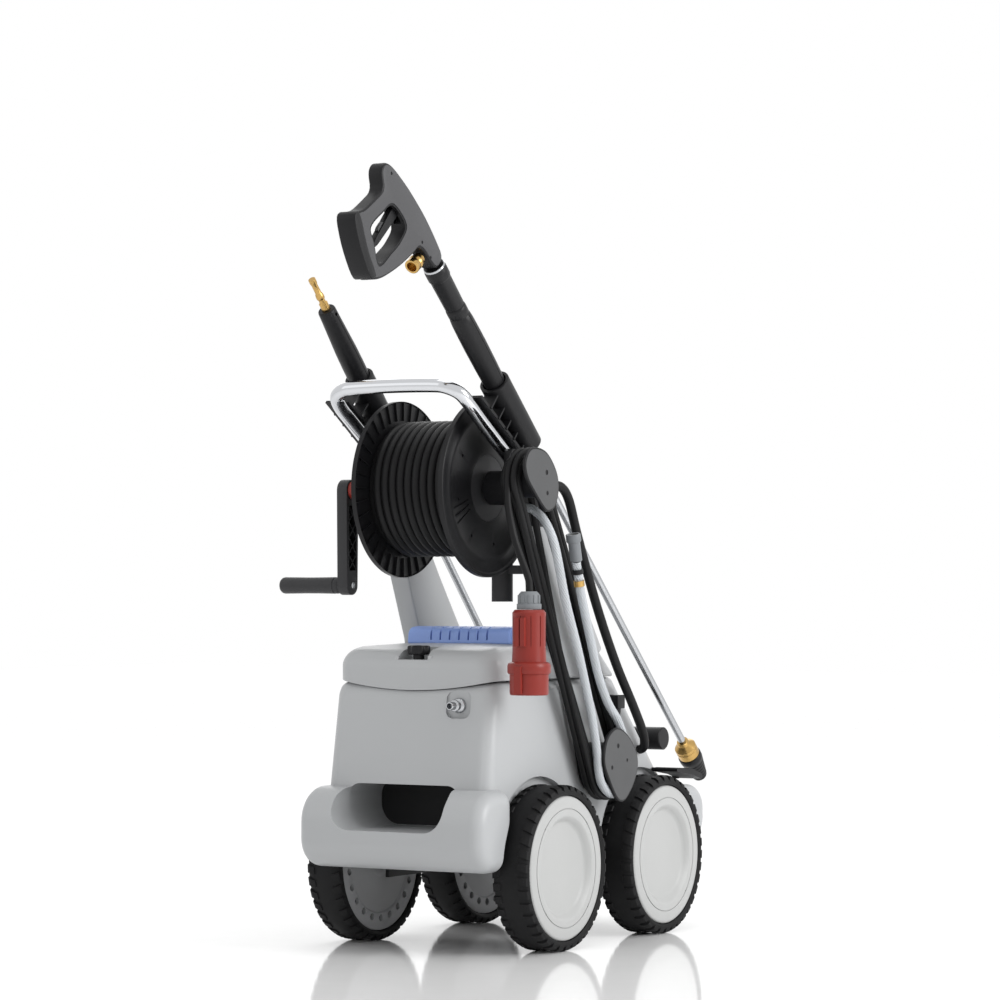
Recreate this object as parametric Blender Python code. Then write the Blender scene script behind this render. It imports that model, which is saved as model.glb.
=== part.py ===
"""Pressure washer on a four-wheel cart, with a hose reel, two lances and a cable hank.

Every position below is in the machine's own frame: the origin is on the floor, midway
between the four wheels, +X is the cable hooks' side, -Y is the front with the storage
compartment, and +Z is up. The empty "machine" then moves all of it, so that the model's
origin is on the floor under the middle of its bounding box.
"""
import math

import bmesh
import bpy
from mathutils import Matrix, Vector

# ---------------------------------------------------------------- driving dimensions
GAP = 0.0004                      # clearance between pieces that touch on the real object

ORIGIN_X = 0.0518                 # middle of the bounding box, from the machine's origin
ORIGIN_Y = 0.1214

WHEEL_R = 0.130
WHEEL_X = 0.171                   # middle plane of a tyre
WHEEL_Y = 0.1665                  # half the wheelbase
TYRE_W = 0.064
TYRE_BORE = 0.113
AXLE_R = 0.010

TUB_X = 0.146                     # half width of the tub at its top
TUB_FLARE = 0.022                 # how much each side widens per metre down
ARCH_X = 0.1365                   # inner side of the wheel arches
ARCH_R = 0.1420
TUB_TOP = 0.4235                  # height of the seam under the lid
TUB_WALL = 0.005
BUMPER_X = 0.169                  # half width of the bumpers
LID_TOP = 0.480

FIN_IN = 0.110                    # inner face of an upright
FIN_OUT = 0.145
FIN_TOP = 0.665

REEL_Y, REEL_Z = -0.207, 0.725    # reel axis, along X
FLANGE_R = 0.1405
FLANGE_X = 0.083                  # outer face of a flange
HOSE_OUT = 0.108
CORE_R = 0.052
REEL_AXLE_R = 0.0115

PEDAL_Y, PEDAL_Z = 0.2850, 0.2535 # hinge of the brake pedal

HANDLE_R = 0.011
HANDLE_X = 0.118

LANCE_X = 0.125                   # plane of the gun and its lance
GUN_Y, GUN_Z = -0.4373, 1.053     # where the gun ends and its lance begins
LANCE_LEAN = math.radians(47.1)   # lean of the right lance from the vertical
LEFT_X = -0.145
LEFT_Y, LEFT_Z = -0.3263, 1.0085   # top of the left lance's grip
LEFT_LEAN = math.radians(42.8)

HOOK_TOP = (-0.247, 0.735)        # centres of the cable hooks, in Y and Z
HOOK_LOW = (0.000, 0.285)
DRUM_TOP_R = 0.029
DRUM_LOW_R = 0.036
HANK_X = (0.1510, 0.1845)
HOOK_FACE = 0.2045
CABLE_R = 0.0055
PLUG_X, PLUG_Y, PLUG_TOP = 0.205, -0.290, 0.5347

KNOB_Y = -0.281                   # screw of the star knob
QUIVER_X, QUIVER_Y = 0.054, -0.1160

CRANK_X = -0.172                  # inner face of the crank arm
CRANK_LOW = 0.572                 # height of the grip's axis


# ---------------------------------------------------------------- clearing and materials
for old in list(bpy.data.objects):
    bpy.data.objects.remove(old, do_unlink=True)


def material(name, colour, roughness, metallic=0.0):
    made = bpy.data.materials.new(name)
    made.use_nodes = True
    shader = made.node_tree.nodes["Principled BSDF"]
    shader.inputs["Base Color"].default_value = (*colour, 1.0)
    shader.inputs["Roughness"].default_value = roughness
    shader.inputs["Metallic"].default_value = metallic
    return made


SHELL_GREY = material("shell_grey", (0.50, 0.51, 0.52), 0.45)
BLACK_PLASTIC = material("black_plastic", (0.025, 0.025, 0.028), 0.45)
DARK_GREY = material("dark_grey_plastic", (0.09, 0.09, 0.095), 0.5)
GUN_GREY = material("gun_grey", (0.12, 0.12, 0.125), 0.5)
WHEEL_WHITE = material("wheel_white", (0.70, 0.70, 0.70), 0.4)
TYRE_BLACK = material("tyre_black", (0.02, 0.02, 0.02), 0.8)
RUBBER = material("cable_rubber", (0.02, 0.02, 0.022), 0.55)
CHROME = material("chrome_tube", (0.75, 0.76, 0.78), 0.12, 1.0)
STEEL = material("steel", (0.60, 0.61, 0.63), 0.3, 1.0)
PAINTED = material("black_steel", (0.02, 0.02, 0.02), 0.4)
BRASS = material("brass", (0.68, 0.45, 0.16), 0.3, 1.0)
BLUE = material("blue_grip", (0.24, 0.37, 0.72), 0.4)
RED = material("red_plastic", (0.52, 0.07, 0.05), 0.4)
PLUG_GREY = material("plug_grey", (0.36, 0.38, 0.40), 0.5)
CLEAR = material("clear_hose", (0.72, 0.75, 0.80), 0.3)
CAST = material("cast_aluminium", (0.55, 0.56, 0.58), 0.5, 0.8)
WHITE = material("dial_white", (0.85, 0.85, 0.85), 0.4)


# ---------------------------------------------------------------- shapes
def arc(centre_a, centre_b, radius, start, stop, steps):
    """Points on an arc, angles in degrees."""
    points = []
    for i in range(steps + 1):
        angle = math.radians(start + (stop - start) * i / steps)
        points.append((centre_a + radius * math.cos(angle), centre_b + radius * math.sin(angle)))
    return points


def rounded(corners, steps=3):
    """A closed outline from (a, b, corner radius), each corner turned into an arc."""
    points = []
    count = len(corners)
    for i, (a, b, radius) in enumerate(corners):
        here = Vector((a, b))
        if radius <= 0:
            points.append((a, b))
            continue
        before = Vector(corners[i - 1][:2])
        after = Vector(corners[(i + 1) % count][:2])
        to_before = (before - here).normalized()
        to_after = (after - here).normalized()
        half = to_before.angle(to_after) / 2
        run = radius / math.tan(half)
        first = here + to_before * run
        last = here + to_after * run
        centre = here + (to_before + to_after).normalized() * radius / math.sin(half)
        arm_a = first - centre
        arm_b = last - centre
        turn = arm_a.angle_signed(arm_b)
        for step in range(steps + 1):
            angle = -turn * step / steps
            spun = Vector((arm_a.x * math.cos(angle) - arm_a.y * math.sin(angle),
                           arm_a.x * math.sin(angle) + arm_a.y * math.cos(angle)))
            points.append(tuple(centre + spun))
    return points


def smooth(points, spans=6, closed=False):
    """A Catmull-Rom curve through the points."""
    knots = [Vector(point) for point in points]
    count = len(knots)
    pieces = count if closed else count - 1
    curve = []
    for i in range(pieces):
        if closed:
            a, b, c, d = (knots[(i + k) % count] for k in (-1, 0, 1, 2))
        else:
            a, b, c, d = (knots[min(max(i + k, 0), count - 1)] for k in (-1, 0, 1, 2))
        for step in range(spans):
            t = step / spans
            curve.append(0.5 * (2 * b + (c - a) * t + (2 * a - 5 * b + 4 * c - d) * t * t
                                + (3 * b - a - 3 * c + d) * t ** 3))
    if not closed:
        curve.append(knots[-1])
    return [tuple(point) for point in curve]


def place(axis, a, b, height):
    """A point from an outline's (a, b) and its height along the axis."""
    if axis == "X":
        return (height, a, b)
    if axis == "Y":
        return (a, height, b)
    return (a, b, height)


def prism(outline, low, high, axis="X"):
    """The outline extruded along an axis: (y, z) for X, (x, z) for Y, (x, y) for Z."""
    bm = bmesh.new()
    bottom = [bm.verts.new(place(axis, a, b, low)) for a, b in outline]
    top = [bm.verts.new(place(axis, a, b, high)) for a, b in outline]
    bm.faces.new(bottom)
    bm.faces.new(reversed(top))
    for i in range(len(outline)):
        j = (i + 1) % len(outline)
        bm.faces.new((bottom[i], top[i], top[j], bottom[j]))
    bmesh.ops.recalc_face_normals(bm, faces=bm.faces)
    return bm


def block(x0, x1, y0, y1, z0, z1):
    return prism([(x0, y0), (x1, y0), (x1, y1), (x0, y1)], z0, z1, "Z")


def lathe(profile, segments=24):
    """A turned solid about local Z from (radius, z), closed on the axis or as a ring."""
    bm = bmesh.new()
    rings = []
    for radius, z in profile:
        if radius <= 0:
            rings.append([bm.verts.new((0, 0, z))])
            continue
        ring = []
        for i in range(segments):
            angle = 2 * math.pi * i / segments
            ring.append(bm.verts.new((radius * math.cos(angle), radius * math.sin(angle), z)))
        rings.append(ring)
    closed = profile[0][0] > 0 or profile[-1][0] > 0
    pairs = list(zip(rings, rings[1:]))
    if closed:
        pairs.append((rings[-1], rings[0]))
    for ring_a, ring_b in pairs:
        if len(ring_a) == 1 and len(ring_b) == 1:
            continue
        for i in range(segments):
            j = (i + 1) % segments
            if len(ring_a) == 1:
                bm.faces.new((ring_a[0], ring_b[i], ring_b[j]))
            elif len(ring_b) == 1:
                bm.faces.new((ring_a[i], ring_b[0], ring_a[j]))
            else:
                bm.faces.new((ring_a[i], ring_b[i], ring_b[j], ring_a[j]))
    bmesh.ops.recalc_face_normals(bm, faces=bm.faces)
    return bm


def disc(radius, low, high, segments=24):
    return lathe([(0, low), (radius, low), (radius, high), (0, high)], segments)


# ---------------------------------------------------------------- objects
def empty(name, location=(0, 0, 0), rotation=(0, 0, 0), parent=None):
    made = bpy.data.objects.new(name, None)
    bpy.context.scene.collection.objects.link(made)
    made.location = location
    made.rotation_euler = rotation
    made.parent = parent
    return made


def solid(name, bm, finish, parent, location=(0, 0, 0), rotation=(0, 0, 0), angle=35):
    mesh = bpy.data.meshes.new(name)
    bm.to_mesh(mesh)
    bm.free()
    mesh.shade_smooth()
    mesh.set_sharp_from_angle(angle=math.radians(angle))
    made = bpy.data.objects.new(name, mesh)
    bpy.context.scene.collection.objects.link(made)
    made.data.materials.append(finish)
    made.parent = parent
    made.location = location
    made.rotation_euler = rotation
    return made


def tool(name, bm, target, operation, location=(0, 0, 0), rotation=(0, 0, 0)):
    """Cuts from the target, or joins to it, a shape given in the target's parent's frame."""
    helper = solid(name, bm, SHELL_GREY, target.parent, location, rotation)
    helper.hide_render = True
    helper.hide_viewport = True
    helper.display_type = "WIRE"
    step = target.modifiers.new(name, "BOOLEAN")
    step.operation = operation
    step.object = helper
    step.solver = "EXACT"
    return helper


def cut(target, bm, location=(0, 0, 0), rotation=(0, 0, 0)):
    return tool("cut_" + target.name, bm, target, "DIFFERENCE", location, rotation)


def join(target, bm, location=(0, 0, 0), rotation=(0, 0, 0)):
    return tool("join_" + target.name, bm, target, "UNION", location, rotation)


def bevel(target, width, segments=2, angle=35):
    step = target.modifiers.new("rounding", "BEVEL")
    step.width = width
    step.segments = segments
    step.limit_method = "ANGLE"
    step.angle_limit = math.radians(angle)
    step.harden_normals = False
    return step


def tube(name, points, radius, finish, parent, resolution=2):
    """A round tube along the points, with flat ends."""
    data = bpy.data.curves.new(name, "CURVE")
    data.dimensions = "3D"
    spline = data.splines.new("POLY")
    spline.points.add(len(points) - 1)
    for knot, point in zip(spline.points, points):
        knot.co = (*point, 1.0)
    data.bevel_depth = radius
    data.bevel_resolution = resolution
    data.use_fill_caps = True
    made = bpy.data.objects.new(name, data)
    bpy.context.scene.collection.objects.link(made)
    made.data.materials.append(finish)
    made.parent = parent
    return made


ALONG_X = (0, math.radians(90), 0)      # turns local Z to +X
ALONG_MINUS_X = (0, math.radians(-90), 0)
ALONG_Y = (math.radians(-90), 0, 0)     # turns local Z to +Y
ALONG_MINUS_Y = (math.radians(90), 0, 0)

machine = empty("machine", (ORIGIN_X, ORIGIN_Y, 0))


# ---------------------------------------------------------------- tub, lid and tower
def seam(offset=0.0):
    """The lid's lower edge seen from the front: (x, z), sagging in the middle."""
    rise = (TUB_TOP - 0.4075) / TUB_X ** 2
    return [(x, 0.4075 + rise * x * x + offset) for x in (TUB_X * i / 5 for i in range(-7, 8))]


def make_tub():
    """The lower shell: a tub with two bumpers, a front compartment and a hollow inside."""
    side = [(-0.310, 0.150), (-0.321, 0.256), (-0.298, TUB_TOP), (0.094, TUB_TOP), (0.236, 0.272), (0.290, 0.230),
            (0.290, 0.150)]
    shell = prism(side, -TUB_X, TUB_X)
    for vert in shell.verts:
        vert.co.x *= 1 + TUB_FLARE * (TUB_TOP - vert.co.z) / TUB_X
    tub = solid("tub_shell", shell, SHELL_GREY, machine)
    bevel(tub, 0.024, 3, 50)
    front = prism(rounded([(-0.374, 0.131, 0.045), (-0.374, 0.257, 0.055), (-0.272, 0.257, 0.012),
                           (-0.272, 0.131, 0.03)], 4), -BUMPER_X, BUMPER_X)
    bevel(join(tub, front), 0.022, 2, 60)
    rear = prism(rounded([(0.270, 0.138, 0.03), (0.270, 0.236, 0.012), (0.372, 0.236, 0.042),
                          (0.372, 0.138, 0.042)], 4), -BUMPER_X, BUMPER_X)
    bevel(join(tub, rear), 0.020, 2, 60)
    inside = [(-0.2960, 0.278), (-0.2850, 0.3980), (0.0980, 0.3980), (0.2240, 0.2680),
              (0.280, 0.2240), (0.280, 0.10), (-0.213, 0.10), (-0.213, 0.278)]
    cut(tub, prism(inside, -ARCH_X + TUB_WALL, ARCH_X - TUB_WALL))
    cut(tub, block(-0.115, 0.115, -0.275, -0.110, 0.390, TUB_TOP + 0.02))
    cut(tub, block(-0.110, 0.110, -0.366, -0.2125, 0.08, 0.186))
    cut(tub, block(-0.125, 0.125, 0.270, 0.360, 0.08, 0.222))
    mouth = rounded([(-0.106, 0.192, 0.034), (-0.106, 0.2625, 0.022), (0.098, 0.2625, 0.022), (0.098, 0.192, 0.034)], 3)
    cut(tub, prism(mouth, -0.45, -0.222, "Y"))
    recess = rounded([(0.064, 0.366, 0.010), (0.064, 0.408, 0.010), (0.108, 0.408, 0.010), (0.108, 0.366, 0.010)])
    cut(tub, prism(recess, -0.33, -0.2985, "Y"))
    cut(tub, prism(seam() + [(0.200, 0.450), (-0.200, 0.450)], -0.340, -0.0975, "Y"))
    for low, high in ((-0.22, -ARCH_X), (ARCH_X, 0.22)):
        for y in (-WHEEL_Y, WHEEL_Y):
            cut(tub, disc(ARCH_R, low, high, 32), (0, y, WHEEL_R), ALONG_X)
    return tub


def make_lid():
    """The lid over the pump, with a notch for the knob at its front edge."""
    outline = rounded([(-TUB_X, -0.0980, 0.004), (-TUB_X, -0.2980, 0.030), (0.0, -0.3040, 0.0),
                       (TUB_X, -0.2980, 0.030), (TUB_X, -0.0980, 0.004)], 3)
    lid = solid("lid", prism(outline, 0.375, LID_TOP, "Z"), SHELL_GREY, machine)
    cut(lid, prism([(-0.340, 0.4630), (-0.200, LID_TOP + 0.0001), (-0.200, 0.520), (-0.340, 0.520)], -0.2, 0.2))
    bevel(lid, 0.020, 3, 60)
    below = seam(GAP)
    cut(lid, prism(below + [(0.210, 0.360), (-0.210, 0.360)], -0.340, -0.050, "Y"))
    hollow = rounded([(-0.140, -0.1030, 0.004), (-0.140, -0.2925, 0.026), (0.140, -0.2925, 0.026),
                      (0.140, -0.1030, 0.004)], 2)
    cut(lid, prism(hollow, 0.36, 0.4570, "Z"))
    notch = [(-0.030, -0.330), (-0.022, -0.250), (0.022, -0.250), (0.030, -0.330)]
    join(lid, block(-0.034, 0.034, -0.298, -0.244, 0.446, 0.462))
    cut(lid, prism(notch, 0.4560, LID_TOP + 0.02, "Z"))
    cut(lid, lathe([(0, 0.40), (0.0068, 0.40), (0.0068, 0.47), (0, 0.47)], 16), (0, KNOB_Y, 0))
    return lid


def make_knob():
    """Star knob on its stem, which screws the lid down."""
    bm = lathe([(0, 0.4400), (0.0062, 0.4400), (0.0062, 0.4564), (0.0088, 0.4564), (0.0088, 0.4630), (0.0150, 0.4640),
                (0.0172, 0.4680), (0.0172, 0.4755), (0.0150, 0.4780), (0, 0.4780)], 16)
    for vert in bm.verts:
        reach = math.hypot(vert.co.x, vert.co.y)
        if reach > 0.0155:
            angle = math.atan2(vert.co.y, vert.co.x)
            grow = 1.0 + 0.07 * math.cos(8 * angle)
            vert.co.x *= grow
            vert.co.y *= grow
    return solid("lid_knob", bm, BLACK_PLASTIC, machine, (0, KNOB_Y, 0))


def make_grip():
    """Ribbed carrying bar across the lid."""
    side = rounded([(-0.165, LID_TOP + GAP, 0.003), (-0.162, 0.504, 0.014), (-0.124, 0.508, 0.014),
                    (-0.120, LID_TOP + GAP, 0.003)], 3)
    grip = solid("lid_grip", prism(side, -0.095, 0.095), BLUE, machine)
    bevel(grip, 0.004, 2, 60)
    for i in range(7):
        x = -0.052 + 0.0174 * i
        cut(grip, block(x, x + 0.0030, -0.168, -0.1595, 0.486, 0.52))
    return grip


def make_tower():
    """Rear cover with two leaning uprights that carry the reel."""
    base = [(-0.0970, TUB_TOP + GAP), (-0.0970, 0.4770), (0.0300, 0.4740), (0.0935, TUB_TOP + GAP)]
    tower = solid("rear_tower", prism(base, -FIN_OUT, FIN_OUT), SHELL_GREY, machine)
    bevel(tower, 0.006, 2, 50)
    hollow = [(-0.0920, TUB_TOP - 0.01), (-0.0920, 0.4720), (0.0260, 0.4690), (0.080, TUB_TOP + GAP),
              (0.090, TUB_TOP - 0.01)]
    cut(tower, prism(hollow, -FIN_OUT + 0.005, FIN_OUT - 0.005))
    fin = [(-0.0940, 0.4700), (-0.0975, 0.4860), (-0.1390, 0.5860), (-0.1700, FIN_TOP), (-0.0940, FIN_TOP),
           (-0.0380, 0.5860), (0.0240, 0.5040), (0.0500, 0.4690), (0.0420, 0.4620)]
    for low, high in ((-FIN_OUT + 0.0005, -FIN_IN), (FIN_IN, FIN_OUT - 0.0005)):
        join(tower, prism(fin, low, high))
    return tower


make_tub()
make_lid()
make_knob()
make_grip()
make_tower()


# ---------------------------------------------------------------- chassis and wheels
def make_chassis():
    """Folded steel channel under the tub, with a bore for each axle."""
    chassis = solid("chassis", block(-0.110, 0.110, -0.205, 0.205, 0.1540, 0.1590), PAINTED, machine)
    for sign in (-1, 1):
        low, high = sorted((sign * 0.104, sign * 0.110))
        join(chassis, block(low, high, -0.205, 0.205, 0.106, 0.157))
    for sign in (-1, 1):
        cut(chassis, disc(AXLE_R + 0.0003, -0.15, 0.15, 16), (0, sign * WHEEL_Y, WHEEL_R), ALONG_X)
    return chassis


def make_axle(name, y):
    profile = [(0, -0.185), (AXLE_R, -0.185), (AXLE_R, 0.185), (0, 0.185)]
    return solid(name, lathe(profile, 16), STEEL, machine, (0, y, WHEEL_R), ALONG_X)


def make_wheel(name, x_side, y):
    """A tyre on its rim; local Z points outwards along the axle."""
    turn = ALONG_X if x_side > 0 else ALONG_MINUS_X
    place_at = (x_side * WHEEL_X, y, WHEEL_R)
    half = TYRE_W / 2
    tyre = [(TYRE_BORE + 0.0012, -half + 0.003), (0.1215, -half), (WHEEL_R, -half + 0.010), (WHEEL_R, half - 0.010),
            (0.1215, half), (TYRE_BORE + 0.0012, half - 0.003)]
    solid("tyre_" + name, lathe(tyre, 32), TYRE_BLACK, machine, place_at, turn)
    rim = [(AXLE_R + 0.0005, -0.024), (0.028, -0.024), (0.030, -0.010), (0.098, -0.010), (0.101, -0.027),
           (TYRE_BORE, -0.027), (TYRE_BORE, 0.030), (0.083, 0.0300), (0.078, 0.0245), (0, 0.0225), (0, 0.0150),
           (AXLE_R + 0.0005, 0.0150)]
    solid("rim_" + name, lathe(rim, 24), WHEEL_WHITE, machine, place_at, turn)


make_chassis()
make_axle("axle_front", -WHEEL_Y)
make_axle("axle_rear", WHEEL_Y)
for side_name, side in (("left", -1), ("right", 1)):
    make_wheel("front_" + side_name, side, -WHEEL_Y)
    make_wheel("rear_" + side_name, side, WHEEL_Y)


def make_brake():
    """Foot pedal over the right rear tyre, hinged behind it on the tub's side."""
    side = rounded([(0.205, 0.2640, 0.002), (0.205, 0.2700, 0.002), (0.262, 0.2660, 0.003), (0.296, 0.2560, 0.003),
                    (0.296, 0.2470, 0.003), (0.262, 0.2560, 0.003)], 2)
    pedal = solid("brake_pedal", prism(side, 0.152, 0.200), BLACK_PLASTIC, machine)
    join(pedal, disc(0.0060, 0.1505, 0.160, 16), (0, PEDAL_Y, PEDAL_Z), ALONG_X)
    return pedal


def make_rear_bar():
    """Lifting bar across the back on two arms."""
    bar = solid("rear_bar", disc(0.019, -0.137, 0.141, 20), BLACK_PLASTIC, machine, (0, 0.270, 0.315), ALONG_X)
    for sign in (-1, 1):
        arm = [(0.2045, 0.3110), (0.2650, 0.3260), (0.2720, 0.3100), (0.2215, 0.2930)]
        low, high = sorted((sign * 0.078, sign * 0.100))
        join(bar, prism(arm, low, high))
    return bar


def make_inlet():
    """Quick-coupling nipple of the water inlet, in its recess."""
    profile = [(0, 0.0), (0.0105, 0.0), (0.0105, 0.006), (0.0075, 0.008), (0.0075, 0.013), (0.0095, 0.015),
               (0.0095, 0.018), (0.0065, 0.020), (0.0065, 0.030), (0.0045, 0.031), (0.0045, 0.010), (0, 0.010)]
    return solid("water_inlet", lathe(profile, 20), STEEL, machine, (0.086, -0.2985 - GAP, 0.386), ALONG_MINUS_Y)


make_brake()
make_rear_bar()
make_inlet()


# ---------------------------------------------------------------- handle, brackets and reel
def make_handle():
    """One bent tube: two legs down to the reel brackets and a bar across the front."""
    leg = [(HANDLE_X, -0.197, 0.769), (HANDLE_X, -0.242, 0.798), (HANDLE_X, -0.290, 0.829),
           (HANDLE_X, -0.326, 0.853), (0.112, -0.344, 0.868), (0.094, -0.353, 0.877), (0.070, -0.355, 0.880)]
    mirrored = [(-x, y, z) for x, y, z in reversed(leg)]
    route = smooth(leg + [(0.0, -0.356, 0.881)] + mirrored, 4)
    return tube("push_handle", route, HANDLE_R, CHROME, machine, 2)


def make_bracket(name, sign):
    """Casting on an upright: a bearing of the reel, and the seat of a handle's leg."""
    def span(low, high):
        return sorted((sign * low, sign * high))

    shape = rounded([(-0.1700, FIN_TOP + GAP, 0.004), (-0.2400, 0.705, 0.015), (-0.2420, 0.790, 0.010),
                     (-0.2050, 0.776, 0.015), (-0.1550, 0.735, 0.012), (-0.0950, FIN_TOP + GAP, 0.004)], 3)
    casting = solid(name, prism(shape, *span(0.1305, 0.1450)), BLACK_PLASTIC, machine)
    join(casting, block(*span(0.1115, 0.1350), -0.1640, -0.0900, FIN_TOP + 2 * GAP, 0.6760))
    join(casting, disc(0.0270, *span(0.0865, 0.1350), 24), (0, REEL_Y, REEL_Z), ALONG_X)
    far = 0.1100 if sign > 0 else 0.1600
    cut(casting, disc(REEL_AXLE_R + 0.0005, *span(0.0800, far), 16), (0, REEL_Y, REEL_Z), ALONG_X)
    return casting


reel = empty("reel_axis", (0, REEL_Y, REEL_Z), ALONG_X, machine)


def make_reel():
    """Two flanges on a core with its axle; local Z is the reel's axis, towards +X."""
    face = FLANGE_X
    right = [(CORE_R + 0.0004, face - 0.005), (FLANGE_R - 0.002, face - 0.005), (FLANGE_R, face - 0.008),
             (FLANGE_R, face + 0.001), (FLANGE_R - 0.006, face + 0.001), (FLANGE_R - 0.008, face - 0.002),
             (0.060, face - 0.001), (CORE_R + 0.0004, face - 0.001)]
    solid("reel_flange_right", lathe(right, 32), BLACK_PLASTIC, reel)
    left = [(radius, -z) for radius, z in right]
    solid("reel_flange_left", lathe(left, 32), BLACK_PLASTIC, reel)
    inner = face - 0.001
    core = [(0, CRANK_X - 0.0205), (REEL_AXLE_R, CRANK_X - 0.0205), (REEL_AXLE_R, -inner), (CORE_R, -inner), (CORE_R, inner),
            (REEL_AXLE_R, inner), (REEL_AXLE_R, 0.1085), (0, 0.1085)]
    solid("reel_core", lathe(core, 32), DARK_GREY, reel)
    width = face - 0.0055
    coil = [(CORE_R + 0.0004, -width), (HOSE_OUT - 0.004, -width), (HOSE_OUT, -width + 0.006),
            (HOSE_OUT, width - 0.006), (HOSE_OUT - 0.004, width), (CORE_R + 0.0004, width)]
    solid("hose_coil", lathe(coil, 32), RUBBER, reel)


def make_crank():
    """Arm on the reel's axle, with its bush, and a grip that turns on its pin."""
    low = CRANK_LOW
    arm_side = arc(REEL_Y, REEL_Z, 0.0175, 0, 180, 6) + arc(REEL_Y, low, 0.0155, 180, 360, 6)
    arm = solid("crank_arm", prism(arm_side, CRANK_X - 0.020, CRANK_X), DARK_GREY, machine)
    join(arm, disc(0.0155, CRANK_X - 0.002, CRANK_X + 0.0200, 20), (0, REEL_Y, REEL_Z), ALONG_X)
    cut(arm, disc(REEL_AXLE_R + 0.0004, -0.23, -0.15, 16), (0, REEL_Y, REEL_Z), ALONG_X)
    cut(arm, block(CRANK_X - 0.014, CRANK_X + 0.01, REEL_Y - 0.0110, REEL_Y + 0.0110, low + 0.024, REEL_Z - 0.024))
    join(arm, disc(0.0055, CRANK_X - 0.0850, CRANK_X - 0.0190, 16), (0, REEL_Y, low), ALONG_X)
    grip = [(0.0060, -0.1360), (0.0105, -0.1360), (0.0135, -0.1310), (0.0130, -0.0850), (0.0135, -0.0320),
            (0.0115, -0.0208), (0.0060, -0.0208)]
    solid("crank_grip", lathe(grip, 20), DARK_GREY, machine, (CRANK_X, REEL_Y, low), ALONG_X)


make_handle()
make_bracket("reel_bracket_right", 1)
make_bracket("reel_bracket_left", -1)
make_reel()
make_crank()


# ---------------------------------------------------------------- lances and their holders
def lance_axis(name, x, y, z, lean):
    """Local Z runs down the lance to its nozzle, and local Y points forwards and down."""
    return empty(name, (x, y, z), (lean - math.pi, 0, 0), machine)


right_axis = lance_axis("right_lance_axis", LANCE_X, GUN_Y, GUN_Z, LANCE_LEAN)
left_axis = lance_axis("left_lance_axis", LEFT_X, LEFT_Y, LEFT_Z, LEFT_LEAN)

HOLDER_R = 0.0240
HOLDER_BORE = 0.0195


def make_holder(name, axis, start, stop, strip, strip_x):
    """A tube round the grip, with ribs down to a strip that lies along the handle's leg."""
    holder = solid(name, disc(HOLDER_R, start, stop, 20), BLACK_PLASTIC, axis)
    (v0, u0), (v1, u1) = strip
    join(holder, prism([(v0, u0), (v0 - 0.005, u0), (v1 - 0.005, u1), (v1, u1)], *strip_x))
    for i in range(5):
        u = start + 0.008 + (stop - start - 0.030) * i / 4
        reach = v0 + (v1 - v0) * (u - u0) / (u1 - u0) - 0.0025
        join(holder, block(-0.012, 0.012, 0.0215, reach, u, u + 0.003))
    cut(holder, disc(HOLDER_BORE, start - 0.02, stop + 0.02, 20))
    return holder


make_holder("lance_holder_right", right_axis, 0.241, 0.380, ((0.0581, 0.2195), (0.0333, 0.3623)), (-0.022, 0.010))
make_holder("lance_holder_left", left_axis, 0.140, 0.285, ((0.093, 0.1152), (0.0613, 0.2413)), (-0.008, 0.036))


def make_gun():
    """Gun housing with a guard loop, in the lance's plane; negative Z is towards the gun."""
    outer = [(0.003, -0.213), (-0.009, -0.196), (-0.018, -0.150), (-0.021, -0.119), (-0.023, -0.083),
             (-0.021, -0.042), (-0.016, -0.004), (0.016, -0.004), (0.019, -0.062), (0.047, -0.067),
             (0.089, -0.080), (0.137, -0.101), (0.160, -0.122), (0.148, -0.176), (0.128, -0.218),
             (0.110, -0.211), (0.096, -0.202), (0.066, -0.194), (0.036, -0.187), (0.021, -0.211)]
    hole = [(0.034, -0.154), (0.065, -0.166), (0.102, -0.172), (0.112, -0.152), (0.125, -0.121),
            (0.088, -0.111), (0.058, -0.106), (0.030, -0.112)]
    gun = solid("gun_housing", prism(outer, -0.013, 0.013), GUN_GREY, right_axis)
    bevel(gun, 0.004, 2, 60)
    block_side = rounded([(0.109, -0.214, 0.004), (0.128, -0.220, 0.008), (0.150, -0.177, 0.004),
                          (0.163, -0.124, 0.008), (0.146, -0.114, 0.006)], 2)
    join(gun, prism(block_side, -0.0165, 0.0165))
    cut(gun, prism(smooth([(b, a) for b, a in hole], 2, True), -0.05, 0.05))
    cut(gun, prism([(0.040, -0.160), (0.040, -0.112), (0.014, -0.118), (0.006, -0.138), (0.012, -0.158)],
                   -0.0062, 0.0062))
    return gun


TRIGGER_AXIS = (0.016, -0.134)    # in the gun's plane


def make_trigger():
    """Trigger bar on a pivot at its upper end, and the safety latch in it."""
    hinge = empty("trigger_axis", (0, *TRIGGER_AXIS), (0, 0, 0), right_axis)
    v, u = TRIGGER_AXIS
    bar = [(0.0100, -0.1400), (0.0170, -0.1265), (0.0300, -0.1285), (0.0700, -0.1320), (0.1080, -0.1360),
           (0.1070, -0.1450), (0.0700, -0.1450), (0.0300, -0.1460)]
    bm = prism([(a - v, b - u) for a, b in bar], -0.0055, 0.0055)
    trigger = solid("trigger", bm, BLACK_PLASTIC, hinge)
    slot = [(0.0580, -0.1460), (0.0580, -0.1368), (0.0820, -0.1395), (0.0820, -0.1475)]
    cut(trigger, prism([(a - v, b - u - 0.0008) for a, b in slot], -0.0032, 0.0032))
    latch = [(0.0600, -0.1480), (0.0595, -0.1400), (0.0790, -0.1425), (0.0800, -0.1490)]
    solid("safety_latch", prism([(a - v, b - u) for a, b in latch], -0.0026, 0.0026), DARK_GREY, hinge)


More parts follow.
